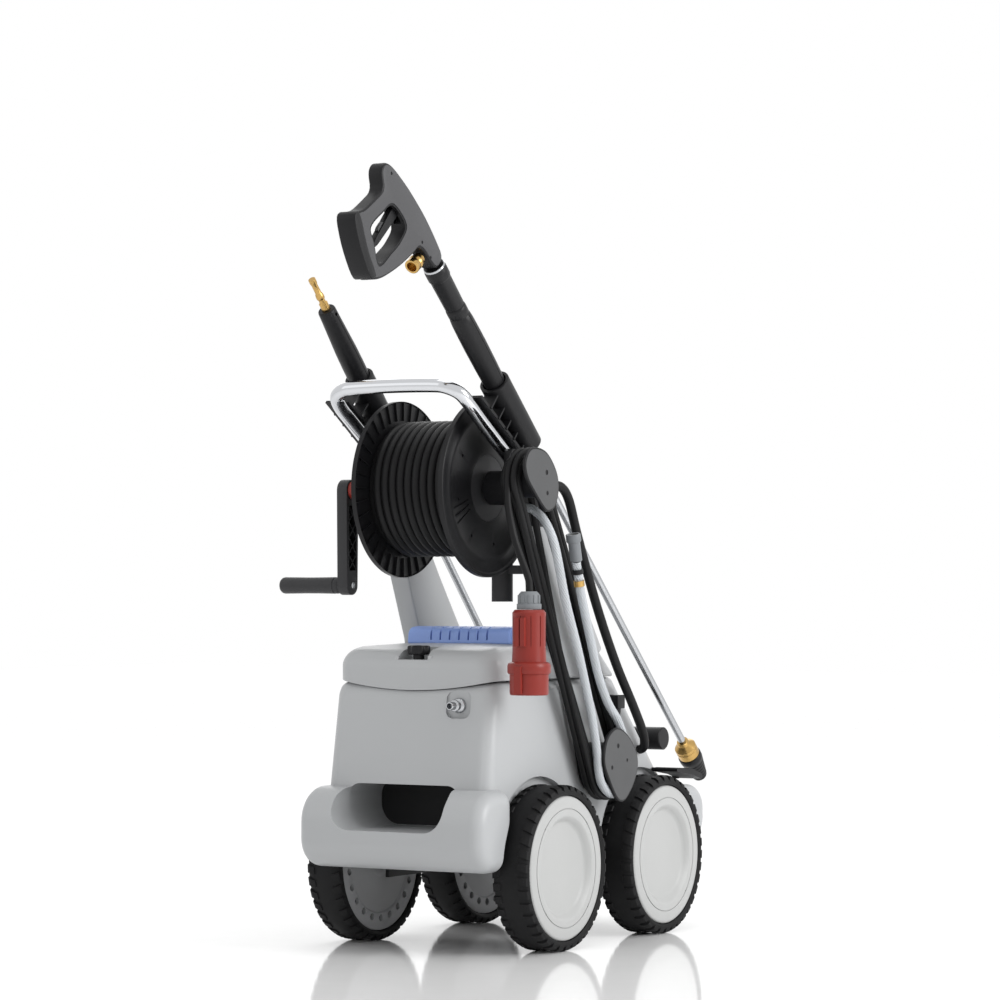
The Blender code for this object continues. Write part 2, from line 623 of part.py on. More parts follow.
def make_right_lance():
    """Inlet, sleeve, grip, steel tube and rotating nozzle of the gun's lance."""
    inlet = [(0, 0.0), (0.0095, 0.0), (0.0095, 0.008), (0.0115, 0.010), (0.0115, 0.026), (0.0080, 0.026),
             (0.0080, 0.012), (0, 0.012)]
    solid("gun_inlet", lathe(inlet, 20), BRASS, right_axis, (0, 0.0218, -0.0385), (math.radians(-102), 0, 0))
    sleeve = [(0, -0.0035), (0.0160, -0.0035), (0.0180, 0.004), (0.0180, 0.020), (0.0158, 0.080), (0, 0.080)]
    solid("lance_sleeve", lathe(sleeve, 24), BLACK_PLASTIC, right_axis)
    grip = [(0, 0.0804), (0.0150, 0.0804), (0.0165, 0.086), (0.0165, 0.098), (0.0178, 0.110), (0.0184, 0.160),
            (0.0172, 0.235), (0.0160, 0.300), (0.0130, 0.306), (0, 0.306)]
    solid("lance_grip", lathe(grip, 24), BLACK_PLASTIC, right_axis)
    rod = [(0, 0.3064), (0.0065, 0.3064), (0.0065, 1.0960), (0, 1.0960)]
    solid("lance_tube", lathe(rod, 12), STEEL, right_axis)
    nozzle = [(0, 1.0964), (0.0100, 1.0964), (0.0110, 1.1050), (0.0185, 1.1110), (0.0185, 1.1310), (0.0200, 1.1330),
              (0.0200, 1.1430), (0.0130, 1.1850), (0.0110, 1.1880), (0, 1.1880)]
    solid("lance_nozzle", lathe(nozzle, 24), BRASS, right_axis)


def make_left_lance():
    """The second lance, with a brass plug-in nipple at its top."""
    nipple = [(0, -0.0600), (0.0060, -0.0600), (0.0060, -0.0520), (0.0050, -0.0490), (0.0050, -0.0320),
              (0.0068, -0.0270), (0.0068, -0.0220), (0.0052, -0.0200), (0.0052, -0.0140), (0.0072, -0.0120),
              (0.0072, 0.0000), (0, 0.0000)]
    solid("left_nipple", lathe(nipple, 16), BRASS, left_axis)
    grip = [(0, 0.0004), (0.0130, 0.0004), (0.0145, 0.004), (0.0150, 0.020), (0.0176, 0.085), (0.0178, 0.140),
            (0.0160, 0.230), (0.0130, 0.236), (0, 0.236)]
    solid("left_grip", lathe(grip, 24), BLACK_PLASTIC, left_axis)
    rod = [(0, 0.2364), (0.0065, 0.2364), (0.0065, 1.0300), (0.0100, 1.0304), (0.0130, 1.0360), (0.0130, 1.0600),
           (0.0100, 1.0800), (0, 1.0800)]
    solid("left_tube", lathe(rod, 16), STEEL, left_axis)


make_gun()
make_trigger()
make_right_lance()
make_left_lance()


def make_quiver():
    """Short open tube for a spare nozzle, on an arm from the right upright."""
    quiver = solid("nozzle_quiver", disc(0.017, 0.546, 0.612, 24), DARK_GREY, machine, (QUIVER_X, QUIVER_Y, 0))
    join(quiver, block(QUIVER_X + 0.0155, FIN_IN - GAP, QUIVER_Y - 0.007, QUIVER_Y + 0.007, 0.590, 0.604))
    cut(quiver, disc(0.0145, 0.53, 0.63, 24), (QUIVER_X, QUIVER_Y, 0))
    return quiver


make_quiver()


# ---------------------------------------------------------------- cable hooks, cable and hoses
def make_hook(name, centre, face, drum_radius, start):
    """A drum that the cable lies on, with a leaf-shaped disc outside."""
    y, z = centre
    outline = [(y + a, z + b) for a, b in face]
    hook = solid(name, prism(smooth(outline, 3, True), 0.1995, HOOK_FACE), BLACK_PLASTIC, machine)
    join(hook, disc(drum_radius, start, 0.2010, 24), (0, y, z), ALONG_X)
    return hook


TOP_FACE = [(-0.022, 0.0500), (0.014, 0.0430), (0.043, 0.0160), (0.051, -0.0120), (0.040, -0.0400), (0.018, -0.0490),
            (0.0015, -0.0420), (-0.022, -0.0230), (-0.046, 0.0000), (-0.054, 0.0230), (-0.043, 0.0430)]
LOW_FACE = [(-0.012, 0.0590), (0.022, 0.0500), (0.052, 0.0250), (0.062, -0.0020), (0.050, -0.0300),
            (0.028, -0.0520), (0.010, -0.0600), (-0.010, -0.0540), (-0.034, -0.0260), (-0.052, 0.0060),
            (-0.042, 0.0420)]
make_hook("cable_hook_upper", HOOK_TOP, TOP_FACE, DRUM_TOP_R - 0.0012, FIN_OUT + GAP)
make_hook("cable_hook_lower", HOOK_LOW, LOW_FACE, DRUM_LOW_R - 0.0012, 0.1505)


def belt(radius_top, radius_low, steps=12):
    """The outline of a belt round both hooks."""
    (y0, z0), (y1, z1) = HOOK_TOP, HOOK_LOW
    lean = math.degrees(math.atan2(z1 - z0, y1 - y0))
    tilt = math.degrees(math.asin((radius_low - radius_top) / math.hypot(y1 - y0, z1 - z0)))
    top = arc(y0, z0, radius_top, lean + 90 + tilt, lean + 270 - tilt, steps)
    low = arc(y1, z1, radius_low, lean - 90 - tilt, lean + 90 + tilt, steps)
    return top + low


def make_hank():
    """The outer shape of the cable's five turns round both hooks."""
    depth = 2 * 2 * CABLE_R + 0.001
    outer = belt(DRUM_TOP_R + depth, DRUM_LOW_R + depth)
    hank = solid("cable_hank", prism(outer, *HANK_X), RUBBER, machine)
    cut(hank, prism(belt(DRUM_TOP_R, DRUM_LOW_R), HANK_X[0] - 0.01, HANK_X[1] + 0.01))
    return hank


def make_cable():
    """Lead from the gland on the tub's wall to the hank, and tail down to the plug."""
    gland = solid("cable_gland", block(0.1476, 0.1740, 0.0500, 0.0740, 0.3720, 0.3940), BLACK_PLASTIC, machine)
    join(gland, lathe([(0, 0.3540), (0.0075, 0.3540), (0.0095, 0.3730), (0, 0.3730)], 16), (0.1620, 0.0620, 0))
    lead = [(0.1620, 0.0620, 0.3536), (0.1620, 0.0622, 0.3440), (0.1625, 0.0632, 0.3320), (0.1640, 0.0646, 0.3200),
            (0.1660, 0.0648, 0.3080)]
    tube("cable_lead", smooth(lead, 3), CABLE_R, RUBBER, machine, 2)
    tail = [(0.1780, -0.3070, 0.7300), (0.1800, -0.3070, 0.7000), (0.1850, -0.3060, 0.6700), (0.1930, -0.3020, 0.6360),
            (0.2010, -0.2950, 0.6030), (0.2050, -0.2900, 0.5760), (0.2050, -0.2900, 0.5632)]
    tube("cable_tail", smooth(tail, 3), CABLE_R, RUBBER, machine, 2)


def make_plug():
    """Industrial plug hanging from the cable's tail."""
    nut = [(0, -0.0004), (0.0190, -0.0004), (0.0190, -0.0090), (0.0165, -0.0100), (0.0165, -0.0240), (0.0120, -0.0280),
           (0, -0.0280)]
    solid("plug_gland", lathe([(r, -z) for r, z in nut], 20), PLUG_GREY, machine, (PLUG_X, PLUG_Y, PLUG_TOP))
    body = [(0, 0.0), (0.0220, 0.0), (0.0260, -0.004), (0.0255, -0.060), (0.0265, -0.080), (0.0320, -0.082),
            (0.0335, -0.086), (0.0335, -0.096), (0.0300, -0.099), (0.0300, -0.128), (0.0285, -0.131), (0.0265, -0.131),
            (0.0265, -0.100), (0, -0.100)]
    plug = lathe([(r, z) for r, z in body], 20)
    solid("plug_body", plug, RED, machine, (PLUG_X, PLUG_Y, PLUG_TOP))


def make_suction_hose():
    """Clear hose from the right bracket, hung over the lower hook, up to its coupling."""
    route = [(0.1457, -0.2060, 0.6930), (0.1560, -0.2060, 0.6930), (0.1700, -0.2090, 0.6870), (0.1840, -0.2110, 0.6760),
             (0.1950, -0.2110, 0.6590), (0.2030, -0.2080, 0.6360), (0.2065, -0.2010, 0.6050), (0.2060, -0.1790, 0.5490),
             (0.2050, -0.1400, 0.4750), (0.1990, -0.1020, 0.4130), (0.1940, -0.0720, 0.3600), (0.1922, -0.0540, 0.3100),
             (0.1922, -0.0420, 0.2600), (0.1922, -0.0010, 0.2370), (0.1922, 0.0410, 0.2600), (0.1918, 0.0470, 0.3000),
             (0.1918, 0.0200, 0.3500), (0.1960, -0.0250, 0.3850), (0.2040, -0.0700, 0.4300), (0.2090, -0.1060, 0.4900),
             (0.2110, -0.1390, 0.5600), (0.2125, -0.1560, 0.6086)]
    tube("suction_hose", smooth(route, 2), 0.0070, CLEAR, machine, 2)


def make_coupling():
    """Grey coupling on the suction hose's free end, open at the top."""
    profile = [(0, 0.0), (0.0085, 0.0), (0.0095, 0.003), (0.0095, 0.030), (0.0118, 0.033), (0.0118, 0.044),
               (0.0085, 0.044), (0.0085, 0.030), (0, 0.030)]
    solid("hose_coupling", lathe(profile, 20), PLUG_GREY, machine, (0.2128, -0.1564, 0.6096), (math.radians(14), 0, 0))


def make_supply_hose():
    """High-pressure hose from the tub's side up to the reel's bracket."""
    route = [(0.1458, -0.1670, 0.7190), (0.1580, -0.1670, 0.7190), (0.1680, -0.1610, 0.7240), (0.1760, -0.1440, 0.7280),
             (0.1770, -0.1180, 0.7080), (0.1760, -0.0860, 0.6480), (0.1740, -0.0220, 0.5400), (0.1720, 0.0440, 0.4480),
             (0.1710, 0.1040, 0.3780), (0.1690, 0.1400, 0.3360), (0.1650, 0.1560, 0.3140), (0.1590, 0.1620, 0.3040),
             (0.1512, 0.1635, 0.3010)]
    tube("supply_hose", smooth(route, 3), 0.0075, RUBBER, machine, 2)


make_hank()
make_cable()
make_plug()
make_suction_hose()
make_coupling()
make_supply_hose()


# ---------------------------------------------------------------- inside the tub, and the controls
def make_drive():
    """Motor, fan, pump and water tank."""
    motor = [(0, -0.105), (0.060, -0.105), (0.070, -0.095), (0.070, 0.085), (0.060, 0.095), (0, 0.095)]
    solid("motor", lathe(motor, 24), CAST, machine, (0, 0.060, 0.262), ALONG_Y)
    fan = solid("motor_fan", disc(0.030, 0.0, 0.014, 20), DARK_GREY, machine, (0, 0.1580, 0.262), ALONG_Y)
    for i in range(4):
        turn = Matrix.Rotation(math.radians(45 * i), 4, "Z")
        blade = block(-0.056, 0.056, -0.002, 0.002, 0.002, 0.012)
        bmesh.ops.transform(blade, matrix=turn, verts=blade.verts)
        join(fan, blade, (0, 0.1580, 0.262), ALONG_Y)
    pump = solid("pump", block(-0.060, 0.060, -0.135, -0.0460, 0.200, 0.300), CAST, machine)
    join(pump, disc(0.026, 0.29, 0.345, 20), (0.0, -0.090, 0))
    bevel(pump, 0.006, 2, 50)
    solid("water_tank", block(-0.100, 0.030, -0.265, -0.145, 0.300, 0.395), CLEAR, machine)


def make_controls():
    """Main switch and pressure gauge on the tower's sloping back."""
    rise, run = 0.4740 - TUB_TOP - GAP, 0.0935 - 0.0300
    back = empty("controls", (0, 0.0300 + run / 2, TUB_TOP + GAP + rise / 2), (-math.atan2(rise, run), 0, 0), machine)
    switch = [(0, 0.0055), (0.0150, 0.0055), (0.0150, 0.0100), (0.0120, 0.0200), (0, 0.0200)]
    knob = solid("main_switch", lathe(switch, 20), BLACK_PLASTIC, back, (0.055, 0, 0))
    join(knob, block(-0.004, 0.004, -0.0135, 0.0135, 0.012, 0.026), (0.055, 0, 0))
    gauge = [(0, 0.0010), (0.0260, 0.0010), (0.0280, 0.0030), (0.0280, 0.0140), (0.0255, 0.0140), (0.0255, 0.0110),
             (0, 0.0110)]
    solid("pressure_gauge", lathe(gauge, 20), STEEL, back, (-0.050, 0, 0))
    needle = prism([(-0.002, -0.006), (0.002, -0.006), (0.0008, 0.020), (-0.0008, 0.020)], 0.0114, 0.0128, "Z")
    solid("gauge_needle", needle, RED, back, (-0.050, 0, 0), (0, 0, math.radians(40)))


make_drive()
make_controls()
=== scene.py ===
"""Looks of the pressure washer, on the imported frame: its camera, floor, light, pieces and finishes.

The helpers work in the machine's own frame, as the part's source does: +X is the cable hooks' side,
-Y is the front, and M moves it into the row frame.
"""
import math

import bmesh
import bpy
from mathutils import Euler, Matrix, Vector


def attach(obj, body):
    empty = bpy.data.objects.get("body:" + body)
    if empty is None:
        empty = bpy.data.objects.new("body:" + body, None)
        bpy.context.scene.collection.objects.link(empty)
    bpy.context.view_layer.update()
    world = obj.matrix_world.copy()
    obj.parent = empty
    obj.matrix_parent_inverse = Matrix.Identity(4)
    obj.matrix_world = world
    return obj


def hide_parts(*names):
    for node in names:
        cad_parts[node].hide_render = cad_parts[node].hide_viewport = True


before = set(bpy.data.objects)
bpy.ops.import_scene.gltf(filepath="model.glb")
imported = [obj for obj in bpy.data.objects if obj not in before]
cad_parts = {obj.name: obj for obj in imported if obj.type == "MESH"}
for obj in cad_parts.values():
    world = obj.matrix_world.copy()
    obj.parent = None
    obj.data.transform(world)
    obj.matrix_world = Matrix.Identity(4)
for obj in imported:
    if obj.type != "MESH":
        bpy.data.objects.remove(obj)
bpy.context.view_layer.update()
scene = bpy.context.scene
M = Matrix.Translation((0.0518, 0.1214, 0.0))

# places in the machine's frame, in metres
REEL_Y, REEL_Z = -0.207, 0.725     # axis of the reel and the crank
CRANK_Z = 0.572                    # pin of the crank's grip
KNOB_Y = -0.281                    # the lid's star knob
WHEEL_X, WHEEL_Y, WHEEL_Z = 0.171, 0.1665, 0.13
TUB_X = 0.146                      # half the tub's width
RIDGE_Y, RIDGE_Z = -0.165, 0.48    # highest line of the lid
LID_HALF = 0.103                   # half the lid's length
CABLE_R, SUCTION_R, SUPPLY_R = 0.0055, 0.007, 0.0075


# ---------------------------------------------------------------- camera, floor and light
lens = bpy.data.cameras.new("camera")
lens.lens = 124.95
lens.sensor_width = 36.0
lens.clip_end = 100.0
camera = bpy.data.objects.new("camera", lens)
camera.location = (2.938, -4.7708, 0.57)
camera.rotation_euler = (math.radians(91.43), 0.0, math.radians(30.705))
scene.collection.objects.link(camera)
scene.camera = camera

world = bpy.data.worlds.new("studio")
world.use_nodes = True
world.node_tree.nodes["Background"].inputs["Color"].default_value = (1.0, 1.0, 1.0, 1.0)
world.node_tree.nodes["Background"].inputs["Strength"].default_value = 1.0
scene.world = world


def area(name, location, aim, size, power):
    data = bpy.data.lights.new(name, "AREA")
    data.shape = "RECTANGLE"
    data.size, data.size_y = size
    data.energy = power
    lamp = bpy.data.objects.new(name, data)
    lamp.location = location
    lamp.rotation_euler = (Vector(aim) - Vector(location)).to_track_quat("-Z", "Y").to_euler()
    scene.collection.objects.link(lamp)


area("key", (3.8, 0.4, 1.9), (0.0, 0.0, 0.4), (2.0, 2.0), 110.0)
area("fill", (-2.2, -3.4, 2.2), (0.0, 0.0, 0.5), (2.4, 2.4), 8.0)
area("top", (0.0, 0.2, 3.6), (0.0, 0.0, 0.0), (2.0, 2.0), 20.0)
area("back", (-1.6, 3.2, 2.4), (0.0, 0.0, 0.5), (2.4, 2.0), 20.0)


# ---------------------------------------------------------------- finishes
PLASTIC_IOR = 1.46


def finish(name, colour, roughness, metallic=0.0, grain=220.0, bump=0.12, vary=0.06, clear=0.0, band=0.0,
        shine=0.5):
    """A procedural finish: a fine grain, a slow change of gloss, and a braid where there is a band."""
    made = bpy.data.materials.new(name)
    made.use_nodes = True
    tree = made.node_tree
    shader = tree.nodes["Principled BSDF"]
    shader.inputs["Base Color"].default_value = (*colour, 1.0)
    shader.inputs["Metallic"].default_value = metallic
    shader.inputs["Roughness"].default_value = roughness
    shader.inputs["Transmission Weight"].default_value = clear
    shader.inputs["IOR"].default_value = PLASTIC_IOR
    shader.inputs["Specular IOR Level"].default_value = shine
    place = tree.nodes.new("ShaderNodeTexCoord")
    fine = tree.nodes.new("ShaderNodeTexNoise")
    fine.inputs["Scale"].default_value = grain
    fine.inputs["Detail"].default_value = 4.0
    tree.links.new(place.outputs["Object"], fine.inputs["Vector"])
    raised = tree.nodes.new("ShaderNodeBump")
    raised.inputs["Strength"].default_value = bump
    raised.inputs["Distance"].default_value = 0.0006
    tree.links.new(fine.outputs["Fac"], raised.inputs["Height"])
    if band:
        wave = tree.nodes.new("ShaderNodeTexWave")
        wave.bands_direction = "DIAGONAL"
        wave.inputs["Scale"].default_value = band
        tree.links.new(place.outputs["Object"], wave.inputs["Vector"])
        second = tree.nodes.new("ShaderNodeBump")
        second.inputs["Strength"].default_value = 0.5
        second.inputs["Distance"].default_value = 0.001
        tree.links.new(wave.outputs["Fac"], second.inputs["Height"])
        tree.links.new(raised.outputs["Normal"], second.inputs["Normal"])
        tree.links.new(second.outputs["Normal"], shader.inputs["Normal"])
    else:
        tree.links.new(raised.outputs["Normal"], shader.inputs["Normal"])
    slow = tree.nodes.new("ShaderNodeTexNoise")
    slow.inputs["Scale"].default_value = 14.0
    slow.inputs["Detail"].default_value = 2.0
    tree.links.new(place.outputs["Object"], slow.inputs["Vector"])
    spread = tree.nodes.new("ShaderNodeMapRange")
    spread.inputs["From Min"].default_value = 0.3
    spread.inputs["From Max"].default_value = 0.7
    spread.inputs["To Min"].default_value = max(roughness - vary, 0.02)
    spread.inputs["To Max"].default_value = min(roughness + vary, 1.0)
    tree.links.new(slow.outputs["Fac"], spread.inputs["Value"])
    tree.links.new(spread.outputs["Result"], shader.inputs["Roughness"])
    return made


LOOKS = {"shell_grey": finish("shell_grey", (0.36, 0.368, 0.375), 0.36, grain=420.0, bump=0.08, shine=0.45),
    "black_plastic": finish("black_plastic", (0.008, 0.008, 0.009), 0.42, grain=320.0, bump=0.15,
    shine=0.25), "dark_grey_plastic": finish("dark_grey_plastic", (0.03, 0.03, 0.032), 0.46, grain=320.0,
    bump=0.15, shine=0.3), "gun_grey": finish("gun_grey", (0.055, 0.055, 0.058), 0.48, grain=360.0,
    bump=0.16, shine=0.35), "wheel_white": finish("wheel_white", (0.38, 0.384, 0.38), 0.38, grain=200.0,
    bump=0.06, shine=0.4), "tyre_black": finish("tyre_black", (0.008, 0.008, 0.0085), 0.62, grain=260.0,
    bump=0.25, shine=0.2), "cable_rubber": finish("cable_rubber", (0.007, 0.007, 0.0075), 0.5, grain=300.0,
    bump=0.15, shine=0.2), "chrome_tube": finish("chrome_tube", (0.58, 0.59, 0.61), 0.12, 1.0, grain=120.0,
    bump=0.01, vary=0.03), "steel": finish("steel", (0.44, 0.45, 0.465), 0.24, 1.0, grain=160.0, bump=0.03),
    "black_steel": finish("black_steel", (0.009, 0.009, 0.0095), 0.36, grain=240.0, bump=0.08, shine=0.25),
    "brass": finish("brass", (0.5, 0.32, 0.11), 0.28, 1.0, grain=160.0, bump=0.04),
    "blue_grip": finish("blue_grip", (0.24, 0.35, 0.7), 0.4, grain=320.0, bump=0.12, shine=0.3),
    "red_plastic": finish("red_plastic", (0.2, 0.021, 0.015), 0.36, grain=300.0, bump=0.1, shine=0.3),
    "plug_grey": finish("plug_grey", (0.16, 0.17, 0.18), 0.48, grain=300.0, bump=0.12, shine=0.3),
    "clear_hose": finish("clear_hose", (0.6, 0.63, 0.66), 0.22, grain=500.0, bump=0.1, clear=0.35,
    band=120.0, shine=0.4), "cast_aluminium": finish("cast_aluminium", (0.52, 0.53, 0.55), 0.5, 0.8,
    grain=240.0, bump=0.3), "dial_white": finish("dial_white", (0.8, 0.8, 0.8), 0.4, grain=200.0,
    bump=0.02),}
DISC_GREY = finish("disc_grey", (0.065, 0.066, 0.068), 0.45, grain=360.0, bump=0.14, shine=0.3)
WHEEL_BACK = finish("wheel_back", (0.33, 0.333, 0.34), 0.5, grain=300.0, bump=0.12, shine=0.3)
# near-black finish for painted shade: it stands in for shadowed depth in the mouth and behind the wheels'
# holes
PAINTED_SHADE = finish("painted_shade_dark", (0.018, 0.018, 0.019), 0.6, grain=200.0, bump=0.1, shine=0.2)

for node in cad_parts.values():
    for place_in in node.material_slots:
        known = place_in.material.name.split(".")[0] if place_in.material else ""
        place_in.material = LOOKS.get(known, LOOKS["black_plastic"])


# ---------------------------------------------------------------- shapes
def arc(centre_a, centre_b, radius, start, stop, steps):
    """Points on an arc, angles in degrees."""
    points = []
    for i in range(steps + 1):
        angle = math.radians(start + (stop - start) * i / steps)
        points.append((centre_a + radius * math.cos(angle), centre_b + radius * math.sin(angle)))
    return points


def rounded(corners, steps=3):
    """A closed outline from (a, b, corner radius), each corner turned into an arc."""
    points = []
    count = len(corners)
    for i, (a, b, radius) in enumerate(corners):
        here = Vector((a, b))
        if radius <= 0:
            points.append((a, b))
            continue
        before = Vector(corners[i - 1][:2])
        after = Vector(corners[(i + 1) % count][:2])
        to_before = (before - here).normalized()
        to_after = (after - here).normalized()
        half = to_before.angle(to_after) / 2
        run = radius / math.tan(half)
        first = here + to_before * run
        last = here + to_after * run
        centre = here + (to_before + to_after).normalized() * radius / math.sin(half)
        arm_a = first - centre
        arm_b = last - centre
        turn = arm_a.angle_signed(arm_b)
        for step in range(steps + 1):
            angle = -turn * step / steps
            spun = Vector((arm_a.x * math.cos(angle) - arm_a.y * math.sin(angle),
                arm_a.x * math.sin(angle) + arm_a.y * math.cos(angle)))
            points.append(tuple(centre + spun))
    return points


def smooth(points, spans=6, closed=False):
    """A Catmull-Rom curve through the points."""
    knots = [Vector(point) for point in points]
    count = len(knots)
    pieces = count if closed else count - 1
    curve = []
    for i in range(pieces):
        if closed:
            a, b, c, d = (knots[(i + k) % count] for k in (-1, 0, 1, 2))
        else:
            a, b, c, d = (knots[min(max(i + k, 0), count - 1)] for k in (-1, 0, 1, 2))
        for step in range(spans):
            t = step / spans
            curve.append(0.5 * (2 * b + (c - a) * t + (2 * a - 5 * b + 4 * c - d) * t * t
                                + (3 * b - a - 3 * c + d) * t ** 3))
    if not closed:
        curve.append(knots[-1])
    return [tuple(point) for point in curve]


def place(axis, a, b, height):
    """A point from an outline's (a, b) and its height along the axis."""
    if axis == "X":
        return (height, a, b)
    if axis == "Y":
        return (a, height, b)
    return (a, b, height)


def prism(outline, low, high, axis="X"):
    """The outline extruded along an axis: (y, z) for X, (x, z) for Y, (x, y) for Z."""
    bm = bmesh.new()
    bottom = [bm.verts.new(place(axis, a, b, low)) for a, b in outline]
    top = [bm.verts.new(place(axis, a, b, high)) for a, b in outline]
    bm.faces.new(bottom)
    bm.faces.new(reversed(top))
    for i in range(len(outline)):
        j = (i + 1) % len(outline)
        bm.faces.new((bottom[i], top[i], top[j], bottom[j]))
    bmesh.ops.recalc_face_normals(bm, faces=bm.faces)
    return bm


def block(x0, x1, y0, y1, z0, z1):
    return prism([(x0, y0), (x1, y0), (x1, y1), (x0, y1)], z0, z1, "Z")


def lathe(profile, segments=24):
    """A turned solid about local Z from (radius, z), closed on the axis or as a ring."""
    bm = bmesh.new()
    rings = []
    for radius, z in profile:
        if radius <= 0:
            rings.append([bm.verts.new((0, 0, z))])
            continue
        ring = []
        for i in range(segments):
            angle = 2 * math.pi * i / segments
            ring.append(bm.verts.new((radius * math.cos(angle), radius * math.sin(angle), z)))
        rings.append(ring)
    closed = profile[0][0] > 0 or profile[-1][0] > 0
    pairs = list(zip(rings, rings[1:]))
    if closed:
        pairs.append((rings[-1], rings[0]))
    for ring_a, ring_b in pairs:
        if len(ring_a) == 1 and len(ring_b) == 1:
            continue
        for i in range(segments):
            j = (i + 1) % segments
            if len(ring_a) == 1:
                bm.faces.new((ring_a[0], ring_b[i], ring_b[j]))
            elif len(ring_b) == 1:
                bm.faces.new((ring_a[i], ring_b[0], ring_a[j]))
            else:
                bm.faces.new((ring_a[i], ring_b[i], ring_b[j], ring_a[j]))
    bmesh.ops.recalc_face_normals(bm, faces=bm.faces)
    return bm


def disc(radius, low, high, segments=24):
    return lathe([(0, low), (radius, low), (radius, high), (0, high)], segments)


# ---------------------------------------------------------------- objects
def at(location=(0, 0, 0), rotation=(0, 0, 0), base=None):
    """A frame at a place in the machine's frame, or in another one."""
    return (M if base is None else base) @ Matrix.LocRotScale(Vector(location), Euler(rotation), None)


def softened(points, rounds=2, share=0.22):
    """The outline with its corners cut into curves."""
    for _ in range(rounds):
        cut_corners = []
        for i, (a, b) in enumerate(points):
            c, d = points[(i + 1) % len(points)]
            cut_corners.append((a + (c - a) * share, b + (d - b) * share))
            cut_corners.append((c + (a - c) * share, d + (b - d) * share))
        points = cut_corners
    return points


def inset(points, depth):
    """The outline moved inwards by depth."""
    area_twice = sum(points[i - 1][0] * p[1] - p[0] * points[i - 1][1] for i, p in enumerate(points))
    sign = 1.0 if area_twice > 0 else -1.0
    moved = []
    for i, (a, b) in enumerate(points):
        before = Vector((a - points[i - 1][0], b - points[i - 1][1])).normalized()
        following = points[(i + 1) % len(points)]
        after = Vector((following[0] - a, following[1] - b)).normalized()
        normal = Vector((-(before.y + after.y), before.x + after.x))
        if normal.length < 1e-6:
            moved.append((a, b))
            continue
        normal.normalize()
        slant = max(normal.dot(Vector((-before.y, before.x))), 0.5)
        moved.append((a + sign * normal.x * depth / slant, b + sign * normal.y * depth / slant))
    return moved


bases = {}
tools = {}


def solid(name, bm, look, base=None, location=(0, 0, 0), rotation=(0, 0, 0)):
    mesh = bpy.data.meshes.new(name)
    bm.to_mesh(mesh)
    bm.free()
    made = bpy.data.objects.new(name, mesh)
    scene.collection.objects.link(made)
    bases[name] = M if base is None else base
    made.matrix_world = at(location, rotation, bases[name])
    if look is not None:
        mesh.materials.append(look)
    return made


def tool(target, bm, operation, location=(0, 0, 0), rotation=(0, 0, 0)):
    made = solid(target.name + "_tool_" + str(len(bases)), bm, None, bases[target.name], location, rotation)
    change = target.modifiers.new("shape", "BOOLEAN")
    change.operation = operation
    change.solver = "MANIFOLD"
    change.object = made
    tools.setdefault(target.name, []).append(made)
    return made


def cut(target, bm, location=(0, 0, 0), rotation=(0, 0, 0)):
    return tool(target, bm, "DIFFERENCE", location, rotation)


def join(target, bm, location=(0, 0, 0), rotation=(0, 0, 0)):
    return tool(target, bm, "UNION", location, rotation)


def bevel(target, width, segments=4, angle=35):
    change = target.modifiers.new("edge", "BEVEL")
    change.width = width
    change.segments = segments
    change.limit_method = "ANGLE"
    change.angle_limit = math.radians(angle)


def done(piece, body, *nodes, angle=35):
    """Fixes the piece's shape, shades it smooth up to an angle, and puts it on its body.

    The exact solver takes over where the manifold one leaves nothing.
    """
    for solver in ("MANIFOLD", "EXACT"):
        for change in piece.modifiers:
            if change.type == "BOOLEAN":
                change.solver = solver
        bpy.context.view_layer.update()
        shaped = piece.evaluated_get(bpy.context.evaluated_depsgraph_get())
        mesh = bpy.data.meshes.new_from_object(shaped)
        if len(mesh.polygons) > 3:
            break
    if not mesh.materials:
        mesh.materials.append(piece.data.materials[0])
    piece.modifiers.clear()
    piece.data = mesh
    for made in tools.pop(piece.name, []):
        bpy.data.objects.remove(made, do_unlink=True)
    mesh.polygons.foreach_set("use_smooth", [True] * len(mesh.polygons))
    mesh.set_sharp_from_angle(angle=math.radians(angle))
    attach(piece, body)
    if nodes:
        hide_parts(*nodes)
    return piece


def pipe(name, points, radius, look, body, nodes, resolution=6, base=None):
    """A round tube along the points, given in the machine's frame or in another one."""
    data = bpy.data.curves.new(name, "CURVE")
    data.dimensions = "3D"
    spline = data.splines.new("POLY")
    spline.points.add(len(points) - 1)
    for knot, point in zip(spline.points, points):
        knot.co = (*point, 1.0)
    data.bevel_depth = radius
    data.bevel_resolution = resolution
    data.use_fill_caps = True
    made = bpy.data.objects.new(name, data)
    scene.collection.objects.link(made)
    made.data.materials.append(look)
    made.matrix_world = M if base is None else base
    bpy.context.view_layer.update()
    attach(made, body)
    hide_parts(*nodes)
    return made


X_UP = (0, math.radians(90), 0)
X_DOWN = (0, math.radians(-90), 0)
Y_DOWN = (math.radians(90), 0, 0)

# ---------------------------------------------------------------- cords
# the hooks' centres as (y, z), the line between them, and the cable's lanes along X
TOP, LOW = Vector((-0.247, 0.735)), Vector((0.0, 0.285))
SPAN = (LOW - TOP).length
LEAN = math.atan2(LOW.y - TOP.y, LOW.x - TOP.x)
BACK = LEAN + math.pi / 2
LANES = (0.1565, 0.1679, 0.1793)
NEAR = 0.011


def swing(centre, radius, x, start, stop, steps=20):
    """Points round a drum, at one depth."""
    turned = []
    for i in range(steps + 1):
        angle = start + (stop - start) * i / steps
        turned.append((x, centre.x + radius * math.cos(angle), centre.y + radius * math.sin(angle)))
    return turned


def run(first, last, steps=14):
    """Points on the straight line between two places, without its ends."""
    between = []
    for i in range(1, steps):
        t = i / steps
        between.append(tuple(a + (b - a) * t for a, b in zip(first, last)))
    return between


